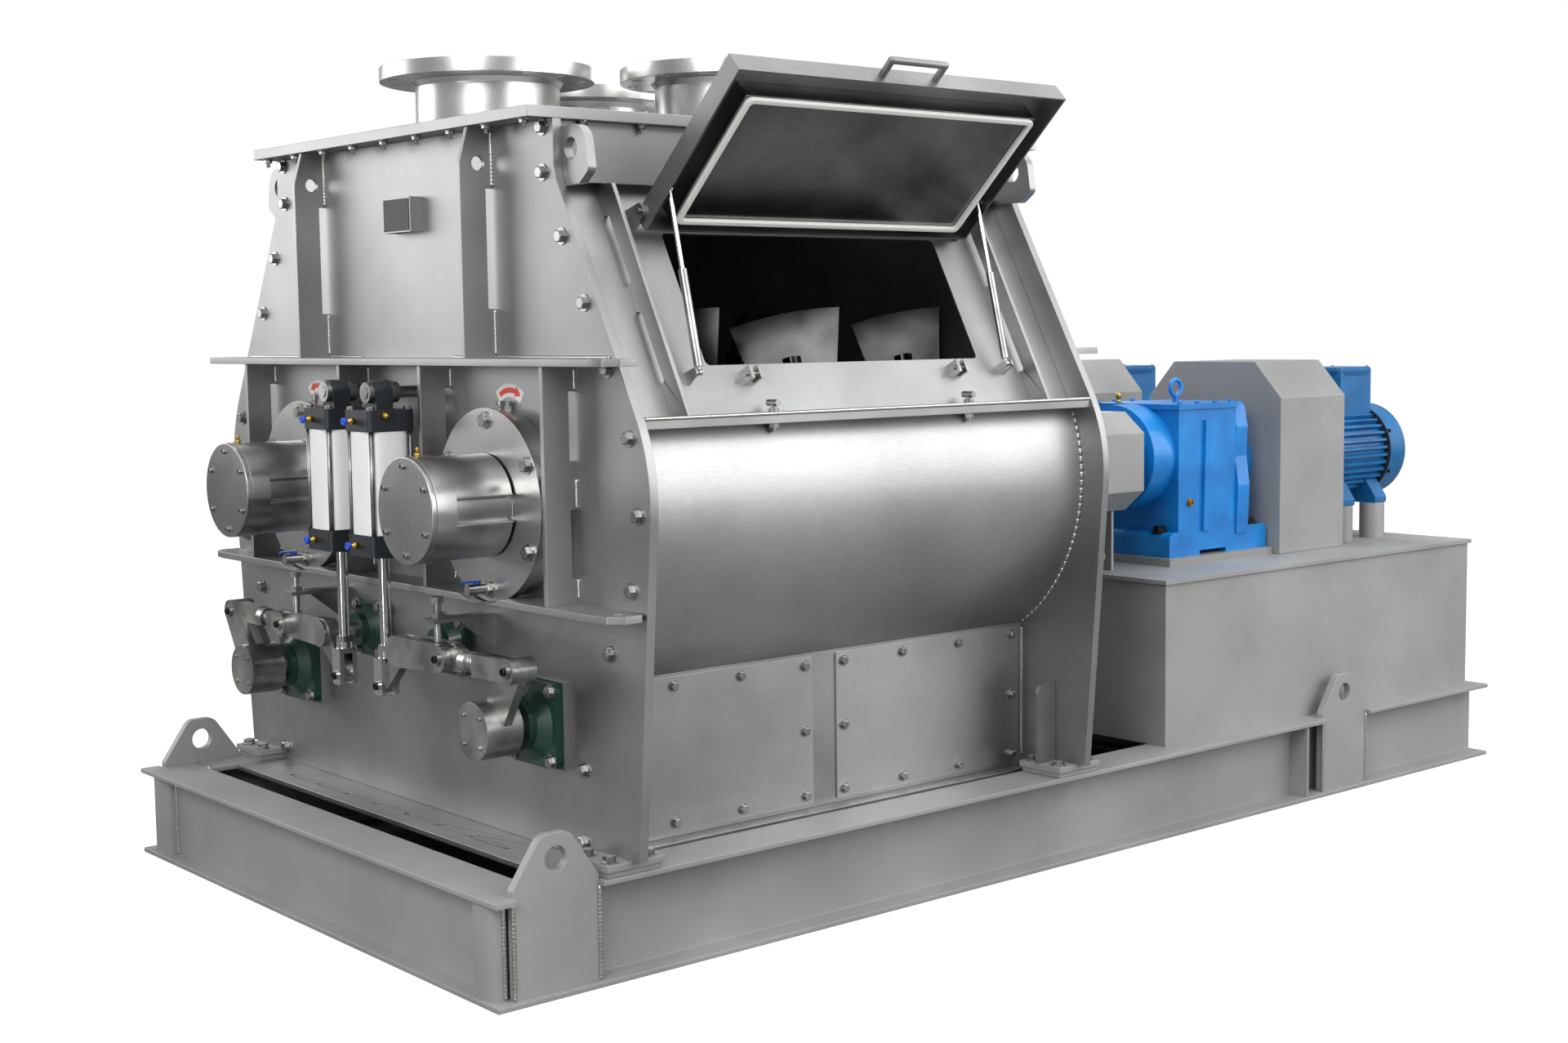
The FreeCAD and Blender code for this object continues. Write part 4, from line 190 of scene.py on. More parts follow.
def dress(node_names, material, edge=0.0012):
    """Gives CAD nodes a finish, and a small broken edge by merging their triangles and bevelling."""
    for node_name in node_names:
        node = nodes[node_name]
        node.data.materials.clear()
        node.data.materials.append(material)
        node.data.polygons.foreach_set("use_smooth", np.full(len(node.data.polygons), True))
        merge = node.modifiers.new("merge", "WELD")
        merge.merge_threshold = 0.00002
        if edge:
            bevel = node.modifiers.new("edges", "BEVEL")
            bevel.width = edge
            bevel.segments = 2
            bevel.limit_method = "ANGLE"
            bevel.angle_limit = math.radians(32)
            bevel.harden_normals = False
            bevel.use_clamp_overlap = True
            flat = node.modifiers.new("flat_faces", "WEIGHTED_NORMAL")
            flat.mode = "FACE_AREA"
            flat.weight = 80
        else:
            split = node.modifiers.new("sharp_edges", "EDGE_SPLIT")
            split.split_angle = math.radians(32)


def finished(piece, material, body="base"):
    """A new piece gets its material and the body it moves with."""
    piece.data.materials.append(material)
    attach(piece, body)
    return piece


skid_paint = sprayed_grey("satin_grey_skid_paint", "#9c9d9c", 0.48)
dress(["skid_side_beams", "skid_cross_beams", "lifting_lugs", "mounting_feet", "drive_box"], skid_paint, 0.0015)


# Weld beads
# Hand laid beads of overlapping ripples where plates meet, left bright after brushing.
def bead(paths, radius, pitch=0.008):
    """Ripple beads: a six sided ring is carried along each straight path, and its radius swells with
    the rectified sine of the distance over the ripple pitch; both ends close to a point."""
    all_points, all_faces, start = [], [], 0
    turns = np.arange(6) * math.pi / 3
    for first, last in paths:
        first, last = np.array(first, float), np.array(last, float)
        length = np.linalg.norm(last - first)
        count = max(4, int(length / (pitch / 3)))
        way = (last - first) / length
        side = np.cross(way, (0.31, 0.42, 0.85))
        side /= np.linalg.norm(side)
        over = np.cross(way, side)
        along = np.linspace(0, 1, count)
        swell = radius * (0.72 + 0.32 * np.abs(np.sin(along * length / pitch * math.pi)))
        swell[[0, -1]] = radius * 0.05
        ring = np.cos(turns)[None, :, None] * side + np.sin(turns)[None, :, None] * over
        points = first + along[:, None, None] * (last - first) + swell[:, None, None] * ring
        rows = np.arange(count - 1)[:, None] * 6
        here = np.arange(6)[None, :]
        on = (here + 1) % 6
        quads = np.stack([rows + here, rows + on, rows + 6 + on, rows + 6 + here], -1).reshape(-1, 4)
        all_points.append(points.reshape(-1, 3))
        all_faces.append(quads + start)
        start += count * 6
    return np.concatenate(all_points), np.concatenate(all_faces)


def mottled(name, dark, light, grain, gloss, metallic=0.0, relief=0.0):
    """A plain finish that isn't quite even: one fine noise drifts its tone between two colours and its
    roughness between two values, and may raise a small bump; grain is its lumps to the metre."""
    finish = bpy.data.materials.new(name)
    finish.use_nodes = True
    tree = finish.node_tree
    shader = tree.nodes["Principled BSDF"]
    place = add(tree, "ShaderNodeTexCoord")
    spots = add(tree, "ShaderNodeTexNoise", {"Scale": grain, "Detail": 3.0}, {"Vector": place.outputs["Object"]})
    tone = add(tree, "ShaderNodeValToRGB", {}, {"Fac": spots.outputs["Fac"]})
    tone.color_ramp.elements[0].color = linear(dark)
    tone.color_ramp.elements[1].color = linear(light)
    shine = add(tree, "ShaderNodeMapRange", {"To Min": gloss[0], "To Max": gloss[1]}, {"Value": spots.outputs["Fac"]})
    tree.links.new(tone.outputs["Color"], shader.inputs["Base Color"])
    tree.links.new(shine.outputs["Result"], shader.inputs["Roughness"])
    if relief:
        bump = add(tree, "ShaderNodeBump", {"Strength": relief, "Distance": 0.0005}, {"Height": spots.outputs["Fac"]})
        tree.links.new(bump.outputs["Normal"], shader.inputs["Normal"])
    shader.inputs["Metallic"].default_value = metallic
    return finish


weld_metal = mottled("brushed_weld_metal", "#9a9995", "#e6e5e0", 160, (0.27, 0.4), 1.0)

skid_joints = []
for side in (-1, 1):
    web_y = side * 0.7575 - 0.0035
    skid_joints += [((-1.5735, web_y, 0.012), (-1.5735, web_y, 0.198)),
                    ((-1.66, side * 0.783, 0.012), (-1.66, side * 0.783, 0.198)),
                    ((-1.5735, side * 0.697, 0.2105), (-1.5735, side * 0.782, 0.2105))]
    skid_joints += [((x, side * 0.804, 0.012), (x, side * 0.804, 0.2)) for x in (0.909, 1.107, -1.651, -1.453)]
    skid_joints += [((-1.6605, side * y, 0.012), (-1.6605, side * y, 0.198)) for y in (0.699, 0.785)]
vertices, faces = bead(skid_joints, 0.0045)
finished(surface("skid_weld_beads", vertices, [faces], True), weld_metal)


# Skid noses
# A short plate bent round in a shallow bow closes the front end of each side beam between its flanges,
# beside the lifting lug, and is welded to the web of the front beam and painted with the skid.
def nose(wall, y_low, y_high, bow, z_low, z_high):
    """A bowed plate: across its width the front stands off the wall by the bow times the sine of the
    half turn to the power 0.7, and that outline, closed along the wall, is carried straight up."""
    turn = np.linspace(0, math.pi, 17)
    outline = np.column_stack([wall - bow * np.abs(np.sin(turn)) ** 0.7,
                               (y_low + y_high) / 2 - (y_high - y_low) / 2 * np.cos(turn)])
    count = len(outline)
    points = np.concatenate([np.column_stack([outline, np.full(count, z)]) for z in (z_low, z_high)])
    here = np.arange(count)
    on = (here + 1) % count
    return points, np.column_stack([here, here + count, on + count, on]), np.stack([here, here[::-1] + count])


for side, name in ((-1, "left"), (1, "right")):
    low_y, high_y = sorted((side * 0.700, side * 0.784))
    vertices, quads, caps = nose(-1.6598, low_y, high_y, 0.032, 0.0112, 0.1988)
    piece = surface("skid_nose_" + name, vertices, [quads, caps], True)
    finished(piece, skid_paint)
    piece.modifiers.new("sharp_edges", "EDGE_SPLIT").split_angle = math.radians(40)


# Stainless plate work of the body
# End plates, stiffeners, walls, ledges, nozzles and ears of austenitic stainless plate, glass bead
# blasted after welding: an even satin grey with faint cloudy patches and no grain.
def stainless(name, dark, light, roughness, grain=None, cloud=3.0):
    """Stainless steel: cloudy tone between two greys, and a fine bump that is even, or drawn out
    along one axis where the sheet is brushed; cloud is its patches to the metre."""
    steel = bpy.data.materials.new(name)
    steel.use_nodes = True
    tree = steel.node_tree
    shader = tree.nodes["Principled BSDF"]
    place = add(tree, "ShaderNodeTexCoord")
    patches = add(tree, "ShaderNodeTexNoise", {"Scale": cloud, "Detail": 6.0, "Roughness": 0.5},
                  {"Vector": place.outputs["Object"]})
    # blasting dimples and brush marks are about 0.3 mm wide, drawn at 1.2 mm so that they show
    drawn = add(tree, "ShaderNodeMapping", {"Scale": grain or (1.0, 1.0, 1.0)}, {"Vector": place.outputs["Object"]})
    fine = add(tree, "ShaderNodeTexNoise", {"Scale": 800.0, "Detail": 2.0}, {"Vector": drawn.outputs["Vector"]})
    blend = add(tree, "ShaderNodeMix", {"Factor": 0.25 if grain else 0.14},
                {"A": patches.outputs["Fac"], "B": fine.outputs["Fac"]})
    tone = add(tree, "ShaderNodeValToRGB", {}, {"Fac": blend.outputs["Result"]})
    tone.color_ramp.elements[0].position = 0.36
    tone.color_ramp.elements[0].color = linear(dark)
    tone.color_ramp.elements[1].position = 0.64
    tone.color_ramp.elements[1].color = linear(light)
    relief = add(tree, "ShaderNodeBump", {"Strength": 0.12, "Distance": 0.0004}, {"Height": fine.outputs["Fac"]})
    gloss = add(tree, "ShaderNodeMapRange", {"To Min": roughness - 0.05, "To Max": roughness + 0.07},
                {"Value": patches.outputs["Fac"]})
    tree.links.new(tone.outputs["Color"], shader.inputs["Base Color"])
    tree.links.new(gloss.outputs["Result"], shader.inputs["Roughness"])
    tree.links.new(relief.outputs["Normal"], shader.inputs["Normal"])
    shader.inputs["Metallic"].default_value = 1.0
    return steel


blasted = stainless("bead_blasted_stainless", "#969797", "#aeafaf", 0.42)
dress(["front_end_plate", "drive_end_plate", "end_plate_stiffeners", "upper_side_walls", "side_panels",
       "side_ledges", "panel_fins", "lifting_ears", "discharge_flange", "lower_housing", "top_cover"], blasted)

front_face, back_face = -1.3846, -0.0717
seam_x = front_face - 0.001
seams = []
for side in (-1, 1):
    for edge in (-0.0075, 0.0075):
        upper_y = side * 0.365 + edge
        seams += [((seam_x, upper_y, 1.225), (seam_x, upper_y, 1.318)),
                  ((seam_x, upper_y, 1.57), (seam_x, upper_y, 1.685))]
        for offset in (0.18, 0.65):
            y = side * offset + edge
            seams += [((seam_x, y, 0.74), (seam_x, y, 0.78)),
                      ((seam_x, y, 0.92), (seam_x, y, 0.98)),
                      ((seam_x, y, 1.155), (seam_x, y, 1.2))]
    seams += [((seam_x, side * 0.2, 1.2195), (seam_x, side * 0.78, 1.2195)),
              ((-1.363, side * 0.861, 1.1015), (-0.093, side * 0.861, 1.1015)),
              ((-1.3635, side * 0.6415, 0.235), (-1.3635, side * 0.6415, 0.548)),
              ((-0.0928, side * 0.6415, 0.235), (-0.0928, side * 0.6415, 0.548))]
vertices, faces = bead(seams, 0.0042)
finished(surface("body_weld_beads", vertices, [faces], True), weld_metal)


# Foot ribs
# A small plate with one rounded corner stands on each foot between the end plate and the skid, welded
# along both edges.
def rib(wall, way, middle, low, high, reach, thickness):
    """A flat plate in an XZ plane: its outline goes out along the foot, up, round a quarter circle of
    half the reach, and back to the wall; both outlines are joined by quads and closed by flat caps."""
    radius = reach * 0.5
    turn = np.linspace(0, math.pi / 2, 9)
    outline = np.concatenate([[(0, low), (reach, low)],
                              np.column_stack([reach - radius + radius * np.cos(turn),
                                               high - radius + radius * np.sin(turn)]), [(0, high)]])
    count = len(outline)
    points = np.concatenate([np.column_stack([wall + way * outline[:, 0], np.full(count, middle + half),
                                              outline[:, 1]]) for half in (-thickness / 2, thickness / 2)])
    here = np.arange(count)
    on = (here + 1) % count
    quads = np.column_stack([here, here + count, on + count, on])
    caps = np.stack([here, here[::-1] + count])
    return (points, quads[:, ::-1], caps[:, ::-1]) if way < 0 else (points, quads, caps)


rib_feet = []
for number, (wall, way, side) in enumerate(((-1.3636, 1, -1), (-1.3636, 1, 1), (-0.0927, -1, -1), (-0.0927, -1, 1))):
    points, quads, caps = rib(wall, way, side * 0.748, 0.2355, 0.430, 0.060, 0.010)
    finished(surface("foot_rib_%d" % number, points, [quads, caps]), blasted)
    rib_feet += [((wall + way * 0.001, side * 0.742, 0.24), (wall + way * 0.001, side * 0.742, 0.428)),
                 ((wall + way * 0.004, side * 0.742, 0.237), (wall + way * 0.058, side * 0.742, 0.237))]
vertices, faces = bead(rib_feet, 0.0042)
finished(surface("rib_weld_beads", vertices, [faces], True), weld_metal)


# Trough
# The round shell and the doors are rolled stainless sheet, brushed along the roll so that light
# spreads around the drum; the shell ends are welded to the end plates with a bright bead.
rolled = stainless("brushed_rolled_stainless", "#9c9d9d", "#c5c6c6", 0.42, (0.06, 1.0, 1.0), 1.6)
dress(["trough_shell", "door_leaf_left", "door_leaf_right"], rolled, 0.0008)

# both rotors turn about axes this far from the middle and this high, and each drum has this radius
rotor_y, rotor_z, drum = 0.410, 0.917, 0.426
turns = np.linspace(math.radians(15), math.radians(112), 40)
for number, (x, side) in enumerate(((-1.3625, -1), (-0.0940, -1), (-1.3625, 1), (-0.0940, 1))):
    ring = np.stack([np.full(len(turns), x), side * (rotor_y + drum * np.sin(turns)),
                     rotor_z - drum * np.cos(turns)], 1)
    vertices, faces = bead(list(zip(ring[:-1], ring[1:])), 0.0045, 0.009)
    finished(surface("trough_weld_%d" % number, vertices, [faces], True), weld_metal)


# Fasteners
# Stainless hex screws with plain washers, bright and slightly worn on their corners.
def turned(profile, sides):
    """A shape turned about +Z: each (radius, height) of the profile is a ring of equal steps, and
    rings at zero radius are the closing poles."""
    profile = np.array(profile, float)
    turn = np.arange(sides) * 2 * math.pi / sides
    rings = np.stack([profile[:, 0, None] * np.cos(turn), profile[:, 0, None] * np.sin(turn),
                      np.repeat(profile[:, 1, None], sides, 1)], -1)
    rows = np.arange(len(profile) - 1)[:, None] * sides
    here = np.arange(sides)[None, :]
    on = (here + 1) % sides
    quads = np.stack([rows + here, rows + on, rows + sides + on, rows + sides + here], -1).reshape(-1, 4)
    return rings.reshape(-1, 3), quads


def joined(shapes):
    """Vertices and faces of several shapes as one."""
    starts = np.cumsum([0] + [len(points) for points, quads in shapes])
    return (np.concatenate([points for points, quads in shapes]),
            np.concatenate([quads + begin for (points, quads), begin in zip(shapes, starts)]))


def repeated(shape, places, toward):
    """Copies of a shape, one at each place, with its +Z along each outward direction."""
    points, quads = shape
    places = np.array(places, float)
    outward = np.array(toward, float) * np.ones_like(places)
    outward /= np.linalg.norm(outward, axis=1)[:, None]
    helper = np.where(np.abs(outward[:, 2:3]) > 0.9, (1.0, 0.0, 0.0), (0.0, 0.0, 1.0))
    first = np.cross(helper, outward)
    first /= np.linalg.norm(first, axis=1)[:, None]
    second = np.cross(outward, first)
    copies = (places[:, None] + points[None, :, 0, None] * first[:, None] + points[None, :, 1, None] * second[:, None]
              + points[None, :, 2, None] * outward[:, None])
    steps = (np.arange(len(places)) * len(points))[:, None, None]
    return copies.reshape(-1, 3), (quads[None] + steps).reshape(-1, 4)


def hex_screw(across):
    """A hex head with a chamfered top on a washer; all sizes follow the width across corners."""
    head = turned([(0, 0.0), (across / 2, 0.0), (across / 2, across * 0.33), (across * 0.42, across * 0.38),
                   (0, across * 0.38)], 6)
    head = (head[0] + (0, 0, across * 0.1), head[1])
    washer = turned([(0, -0.0005), (across * 0.66, -0.0005), (across * 0.66, across * 0.1), (0, across * 0.1)], 18)
    return joined([washer, head])


screw_steel = mottled("bright_stainless_screws", "#7d7e7e", "#bdbdbb", 220, (0.18, 0.38), 1.0)

# end plate rims: the screws follow the edge of the plate down both sides
rim = [(0.563, 1.676), (0.561, 1.587), (0.624, 1.458), (0.697, 1.326), (0.770, 1.197), (0.836, 1.065),
       (0.861, 0.917), (0.835, 0.770), (0.758, 0.640), (0.660, 0.393), (0.655, 0.245)]
front_rim = [(front_face, side * y, z) for side in (-1, 1) for y, z in rim]
back_rim = [(back_face, side * y, z) for side in (-1, 1) for y, z in rim]
vertices, faces = repeated(hex_screw(0.026), front_rim, (-1, 0, 0))
finished(surface("front_rim_screws", vertices, [faces]), screw_steel)
vertices, faces = repeated(hex_screw(0.026), back_rim, (1, 0, 0))
finished(surface("back_rim_screws", vertices, [faces]), screw_steel)

# cover: screws hang under the overhanging rim of the cover with their nuts
cover_low = 1.691
cover_places = [(x, side * 0.582, cover_low) for side in (-1, 1) for x in np.linspace(-1.30, -0.14, 9)]
cover_places += [(x, y, cover_low) for x in (-1.4252, -0.013) for y in np.linspace(-0.56, 0.56, 9)]
vertices, faces = repeated(hex_screw(0.019), cover_places, (0, 0, -1))
stud = turned([(0, 0.008), (0.0045, 0.008), (0.0045, 0.019), (0, 0.019)], 8)
vertices, faces = joined([(vertices, faces), repeated(stud, cover_places, (0, 0, -1))])
finished(surface("cover_screws", vertices, [faces]), screw_steel)

# access panels: four screws along the top and bottom and one at half height on each side
panel_places = []
for low_x in (-1.34815, -0.69315):
    high_x = low_x + 0.585
    for side in (-1, 1):
        panel_places += [(x, side * 0.644, z) for x in np.linspace(low_x + 0.022, high_x - 0.022, 4)
                         for z in (0.242, 0.532)]
        panel_places += [(low_x + 0.022, side * 0.644, 0.387), (high_x - 0.022, side * 0.644, 0.387)]
panel_places = np.array(panel_places)
panel_ways = np.sign(panel_places[:, 1:2]) * np.array([[0.0, 1.0, 0.0]])
vertices, faces = repeated(hex_screw(0.019), panel_places, panel_ways)
finished(surface("access_panel_screws", vertices, [faces]), screw_steel)

# feet: two bolts each side of the end plates, down into the skid
foot_places = [(x, side * y, 0.236) for x in (-1.4215, -1.3275, -0.1287, -0.0347) for side in (-1, 1)
               for y in (0.716, 0.793)]
vertices, faces = repeated(hex_screw(0.028), foot_places, (0, 0, 1))
finished(surface("foot_bolts", vertices, [faces]), screw_steel)

sheet_steel = stainless("brushed_panel_stainless", "#a6a7a7", "#cccccb", 0.36, (0.08, 1.0, 1.0), 2.4)
dress(["access_panels"], sheet_steel, 0.0008)


# Inlets
# Pipe stubs with drilled flanges, turned bright on the face and the rim and polished in the pipe.
turned_steel = stainless("turned_bright_stainless", "#bfbfbd", "#dededc", 0.28, (1.0, 1.0, 0.2), 5.0)
dress(["inlet_nozzles"], turned_steel, 0.0012)


# Nameplate
# A folded stainless bracket with a dark anodised plate on it, held by four rivets and left blank.
dress(["nameplate"], blasted, 0.0006)
plate_black = mottled("dark_anodised_plate", "#1b1b1c", "#2d2d2e", 90, (0.45, 0.55))


def slab(low, high):
    """A box between two corners as eight vertices and six faces."""
    low, high = np.array(low, float), np.array(high, float)
    pick = np.array([[i & 1, i >> 1 & 1, i >> 2 & 1] for i in range(8)])
    return low + pick * (high - low), np.array([(0, 2, 3, 1), (4, 5, 7, 6), (0, 1, 5, 4), (2, 6, 7, 3),
                                                (0, 4, 6, 2), (1, 3, 7, 5)])


vertices, faces = slab((-1.4158, -0.081, 1.4945), (-1.4145, 0.028, 1.5635))
finished(surface("nameplate_face", vertices, [faces]), plate_black)
rivet = turned([(0, 0), (0.0022, 0), (0.0016, 0.0012), (0, 0.0015)], 10)
vertices, faces = repeated(rivet, [(-1.4158, y, z) for y in (-0.077, 0.024) for z in (1.4985, 1.5595)], (-1, 0, 0))
finished(surface("nameplate_rivets", vertices, [faces], True), screw_steel)


# Rotation arrows
# Adhesive foil signs on the front plate: a white curved field with a red arrow on it that shows which
# way each rotor turns.
def arc_strip(side, radius, centre_z, angles, half_widths, front, back):
    """A curved flat strip with a rectangular section about an X axis over the rotor: at each angle its
    edges lie at the radius minus and plus the half width, and both ends are closed."""
    angles, half_widths = np.array(angles), np.array(half_widths)
    inner, outer = radius - half_widths, radius + half_widths
    corners = [(front, inner), (front, outer), (back, outer), (back, inner)]
    rings = np.stack([np.stack([np.full(len(angles), x), side * (0.420 + r * np.sin(angles)),
                                centre_z + r * np.cos(angles)], 1) for x, r in corners], 1)
    rows = np.arange(len(angles) - 1)[:, None] * 4
    here = np.arange(4)[None, :]
    on = (here + 1) % 4
    quads = np.stack([rows + here, rows + on, rows + 4 + on, rows + 4 + here], -1).reshape(-1, 4)
    last = (len(angles) - 1) * 4
    caps = np.array([(3, 2, 1, 0), (last, last + 1, last + 2, last + 3)])
    quads = np.concatenate([quads, caps])
    return rings.reshape(-1, 3), quads if side < 0 else quads[:, ::-1]


white_foil = mottled("white_vinyl_foil", "#dededc", "#f6f6f4", 240, (0.35, 0.45))
red_foil = mottled("red_vinyl_foil", "#d8321c", "#ee4327", 240, (0.35, 0.45))
spread = np.linspace(-0.68, 0.68, 33)
turn_angles = np.concatenate([np.linspace(-0.56, 0.30, 22), [0.301], np.linspace(0.33, 0.58, 8)])
arrow_widths = np.concatenate([np.full(22, 0.0055), [0.0115], np.linspace(0.0105, 0.0003, 8)])
for side, name in ((-1, "left"), (1, "right")):
    vertices, faces = arc_strip(side, 0.072, 1.080, spread, np.full(len(spread), 0.0140), -1.3851, -1.3845)
    finished(surface("arrow_field_" + name, vertices, [faces]), white_foil)
    vertices, faces = arc_strip(side, 0.072, 1.080, turn_angles, arrow_widths, -1.3855, -1.3850)
    finished(surface("arrow_" + name, vertices, [faces]), red_foil)


# Rotor bearing housings
# Turned stainless housings with a bright lathe finish, a polished cover disc, sheet guards over the
# gap, and a bolted round flange with a seal ring behind it. A brass grease nipple stands on top.
lathe_steel = stainless("lathe_turned_steel", "#aaaaa8", "#cacac9", 0.28, (1.0, 0.15, 0.15), 3.0)
dress(["bearing_housings", "seal_flanges", "shaft_bearings", "bearing_guards"], lathe_steel, 0.0012)
dress(["rotor_shaft_left", "rotor_shaft_right"], lathe_steel, 0.0)
# the paddles inside the trough are coloured near black: painted shade for the dark inside of the trough
paddle_shade_steel = stainless("paddle_stainless_painted_shade", "#222221", "#454544", 0.19, (1.0, 0.2, 1.0), 9.0)
dress(["paddles_left", "paddles_right"], paddle_shade_steel, 0.0012)

housing_face, cover_face, drive_flange = -1.440, -1.6328, -0.0717 + 0.0554
flange_circle, cover_circle = 0.175, 0.090
ring_turns = np.arange(6) * math.pi / 3
flange_places = [(housing_face, side * rotor_y + flange_circle * math.sin(t),
                  rotor_z + flange_circle * math.cos(t))
                 for side in (-1, 1) for t in ring_turns]
vertices, faces = repeated(hex_screw(0.028), flange_places, (-1, 0, 0))
finished(surface("housing_flange_screws", vertices, [faces]), screw_steel)
back_places = [(drive_flange, side * rotor_y + flange_circle * math.sin(t),
                  rotor_z + flange_circle * math.cos(t))
               for side in (-1, 1) for t in ring_turns]
vertices, faces = repeated(hex_screw(0.028), back_places, (1, 0, 0))
finished(surface("drive_flange_screws", vertices, [faces]), screw_steel)
socket_cap = turned([(0, 0), (0.0065, 0), (0.0065, 0.005), (0.0058, 0.006), (0.0034, 0.006), (0.0034, 0.002),
                     (0, 0.002)], 14)
cap_places = [(cover_face, side * rotor_y + cover_circle * math.cos(t), rotor_z + cover_circle * math.sin(t))
              for side in (-1, 1) for t in ring_turns + 0.5]
vertices, faces = repeated(socket_cap, cap_places, (-1, 0, 0))
finished(surface("cover_disc_screws", vertices, [faces]), screw_steel)

brass = mottled("turned_brass", "#9a7532", "#e0b95e", 300, (0.22, 0.34), 1.0)
nipple = joined([turned([(0, -0.002), (0.006, -0.002), (0.006, 0.006), (0, 0.006)], 6),
                 turned([(0, 0.006), (0.0032, 0.006), (0.0032, 0.011), (0.0046, 0.013), (0.003, 0.017),
                         (0, 0.018)], 14)])
vertices, faces = repeated(nipple, [(-1.600, side * rotor_y, 1.0263) for side in (-1, 1)], (0, 0, 1))
finished(surface("grease_nipples", vertices, [faces], True), brass)


# Discharge linkage
# Flame cut and machined steel levers, cranks and turnbuckle links, nickel plated, on round pins; the
# shaft hubs are turned drums with four small screws in the face.
plated = stainless("plated_machined_steel", "#8a8a89", "#c0c0bd", 0.31, None, 12.0)
dress(["door_lever_left", "door_lever_right", "bellcrank_left", "bellcrank_right", "link_left", "link_right",
       "stop_brackets", "cylinder_hangers", "seal_valves", "hatch_hardware"], plated, 0.0011)

hub_face, door_y, door_z, clevis_y = -1.559, 0.52172, 0.47547, 0.095
for side, name in ((-1, "left"), (1, "right")):
    places = [(hub_face, side * door_y + 0.042 * math.cos(t), door_z + 0.042 * math.sin(t))
              for t in np.arange(4) * math.pi / 2 + 0.8]
    vertices, faces = repeated((socket_cap[0] * 0.7, socket_cap[1]), places, (-1, 0, 0))
    finished(surface("hub_screws_" + name, vertices, [faces]), plated, "door_" + name)

# the link pins carry black socket screws in their heads
black_screw = mottled("black_oxide_screws", "#0f0f10", "#242425", 250, (0.25, 0.5), 0.6)
pin_cap = turned([(0, 0), (0.0085, 0), (0.0085, 0.0035), (0.0075, 0.0045), (0.004, 0.0045), (0.004, 0.001),
                  (0, 0.001)], 16)
for side, name in ((-1, "left"), (1, "right")):
    vertices, faces = repeated(pin_cap, [(-1.5453, side * 0.359, 0.601)], (-1, 0, 0))
    finished(surface("crank_pin_cap_" + name, vertices, [faces]), black_screw, "link_" + name)
    body = "link_left" if name == "left" else "door_right"
    vertices, faces = repeated(pin_cap, [(-1.5453, side * 0.622, 0.606)], (-1, 0, 0))
    finished(surface("lever_pin_cap_" + name, vertices, [faces]), black_screw, body)
    vertices, faces = repeated(pin_cap, [(-1.538, side * clevis_y, 0.511)], (-1, 0, 0))
    finished(surface("clevis_pin_cap_" + name, vertices, [faces]), black_screw,
             "piston_rod_" + name)

# green flange bearings: sprayed iron castings with a smooth gloss, their sand lumps about 4 mm apart
green_paint = bpy.data.materials.new("green_enamelled_iron")
green_paint.use_nodes = True
green_tree = green_paint.node_tree
shader = green_tree.nodes["Principled BSDF"]
place = add(green_tree, "ShaderNodeTexCoord")
sand = add(green_tree, "ShaderNodeTexNoise", {"Scale": 260.0, "Detail": 4.0}, {"Vector": place.outputs["Object"]})
tone = add(green_tree, "ShaderNodeValToRGB", {}, {"Fac": sand.outputs["Fac"]})
tone.color_ramp.elements[0].color = linear("#0b2a22")
tone.color_ramp.elements[1].color = linear("#1c4a3c")
relief = add(green_tree, "ShaderNodeBump", {"Strength": 0.4, "Distance": 0.0008}, {"Height": sand.outputs["Fac"]})
# the packing plates behind the door bearings, 15 mm thick on the end plates, stay bare steel
axes = add(green_tree, "ShaderNodeSeparateXYZ", {}, {"Vector": place.outputs["Object"]})
shifted = add(green_tree, "ShaderNodeMath", {1: 0.72815}, {0: axes.outputs["X"]}, operation="ADD")
from_middle = add(green_tree, "ShaderNodeMath", {}, {0: shifted.outputs[0]}, operation="ABSOLUTE")
near_plate = add(green_tree, "ShaderNodeMath", {1: 0.6714}, {0: from_middle.outputs[0]}, operation="LESS_THAN")
off_axis = add(green_tree, "ShaderNodeMath", {}, {0: axes.outputs["Y"]}, operation="ABSOLUTE")
at_doors = add(green_tree, "ShaderNodeMath", {1: 0.35}, {0: off_axis.outputs[0]}, operation="GREATER_THAN")
bare = add(green_tree, "ShaderNodeMath", {}, {0: near_plate.outputs[0], 1: at_doors.outputs[0]},
           operation="MULTIPLY")
mixed = add(green_tree, "ShaderNodeMix", {7: linear("#b4b4b2")}, {0: bare.outputs[0], 6: tone.outputs["Color"]},
            data_type="RGBA")
green_tree.links.new(mixed.outputs[2], shader.inputs["Base Color"])
green_tree.links.new(bare.outputs[0], shader.inputs["Metallic"])
green_tree.links.new(relief.outputs["Normal"], shader.inputs["Normal"])
shader.inputs["Roughness"].default_value = 0.4
shader.inputs["Coat Weight"].default_value = 0.3
dress(["flange_bearings"], green_paint, 0.002)
door_bolts, crank_bolts = (-0.0715, 0.0715), (-0.0508, 0.0508)
bearing_places = [(-1.4176, side * door_y + a, door_z + b) for side in (-1, 1) for a in door_bolts
                  for b in door_bolts]
bearing_places += [(-1.4026, side * 0.178 + a, 0.597 + b) for side in (-1, 1) for a in crank_bolts
                   for b in crank_bolts]
vertices, faces = repeated(hex_screw(0.024), bearing_places, (-1, 0, 0))
finished(surface("bearing_screws", vertices, [faces]), screw_steel)
back_bearing_places = [(-0.0387, side * door_y + a, door_z + b) for side in (-1, 1) for a in door_bolts
                       for b in door_bolts]
vertices, faces = repeated(hex_screw(0.024), back_bearing_places, (1, 0, 0))
finished(surface("back_bearing_screws", vertices, [faces]), screw_steel)


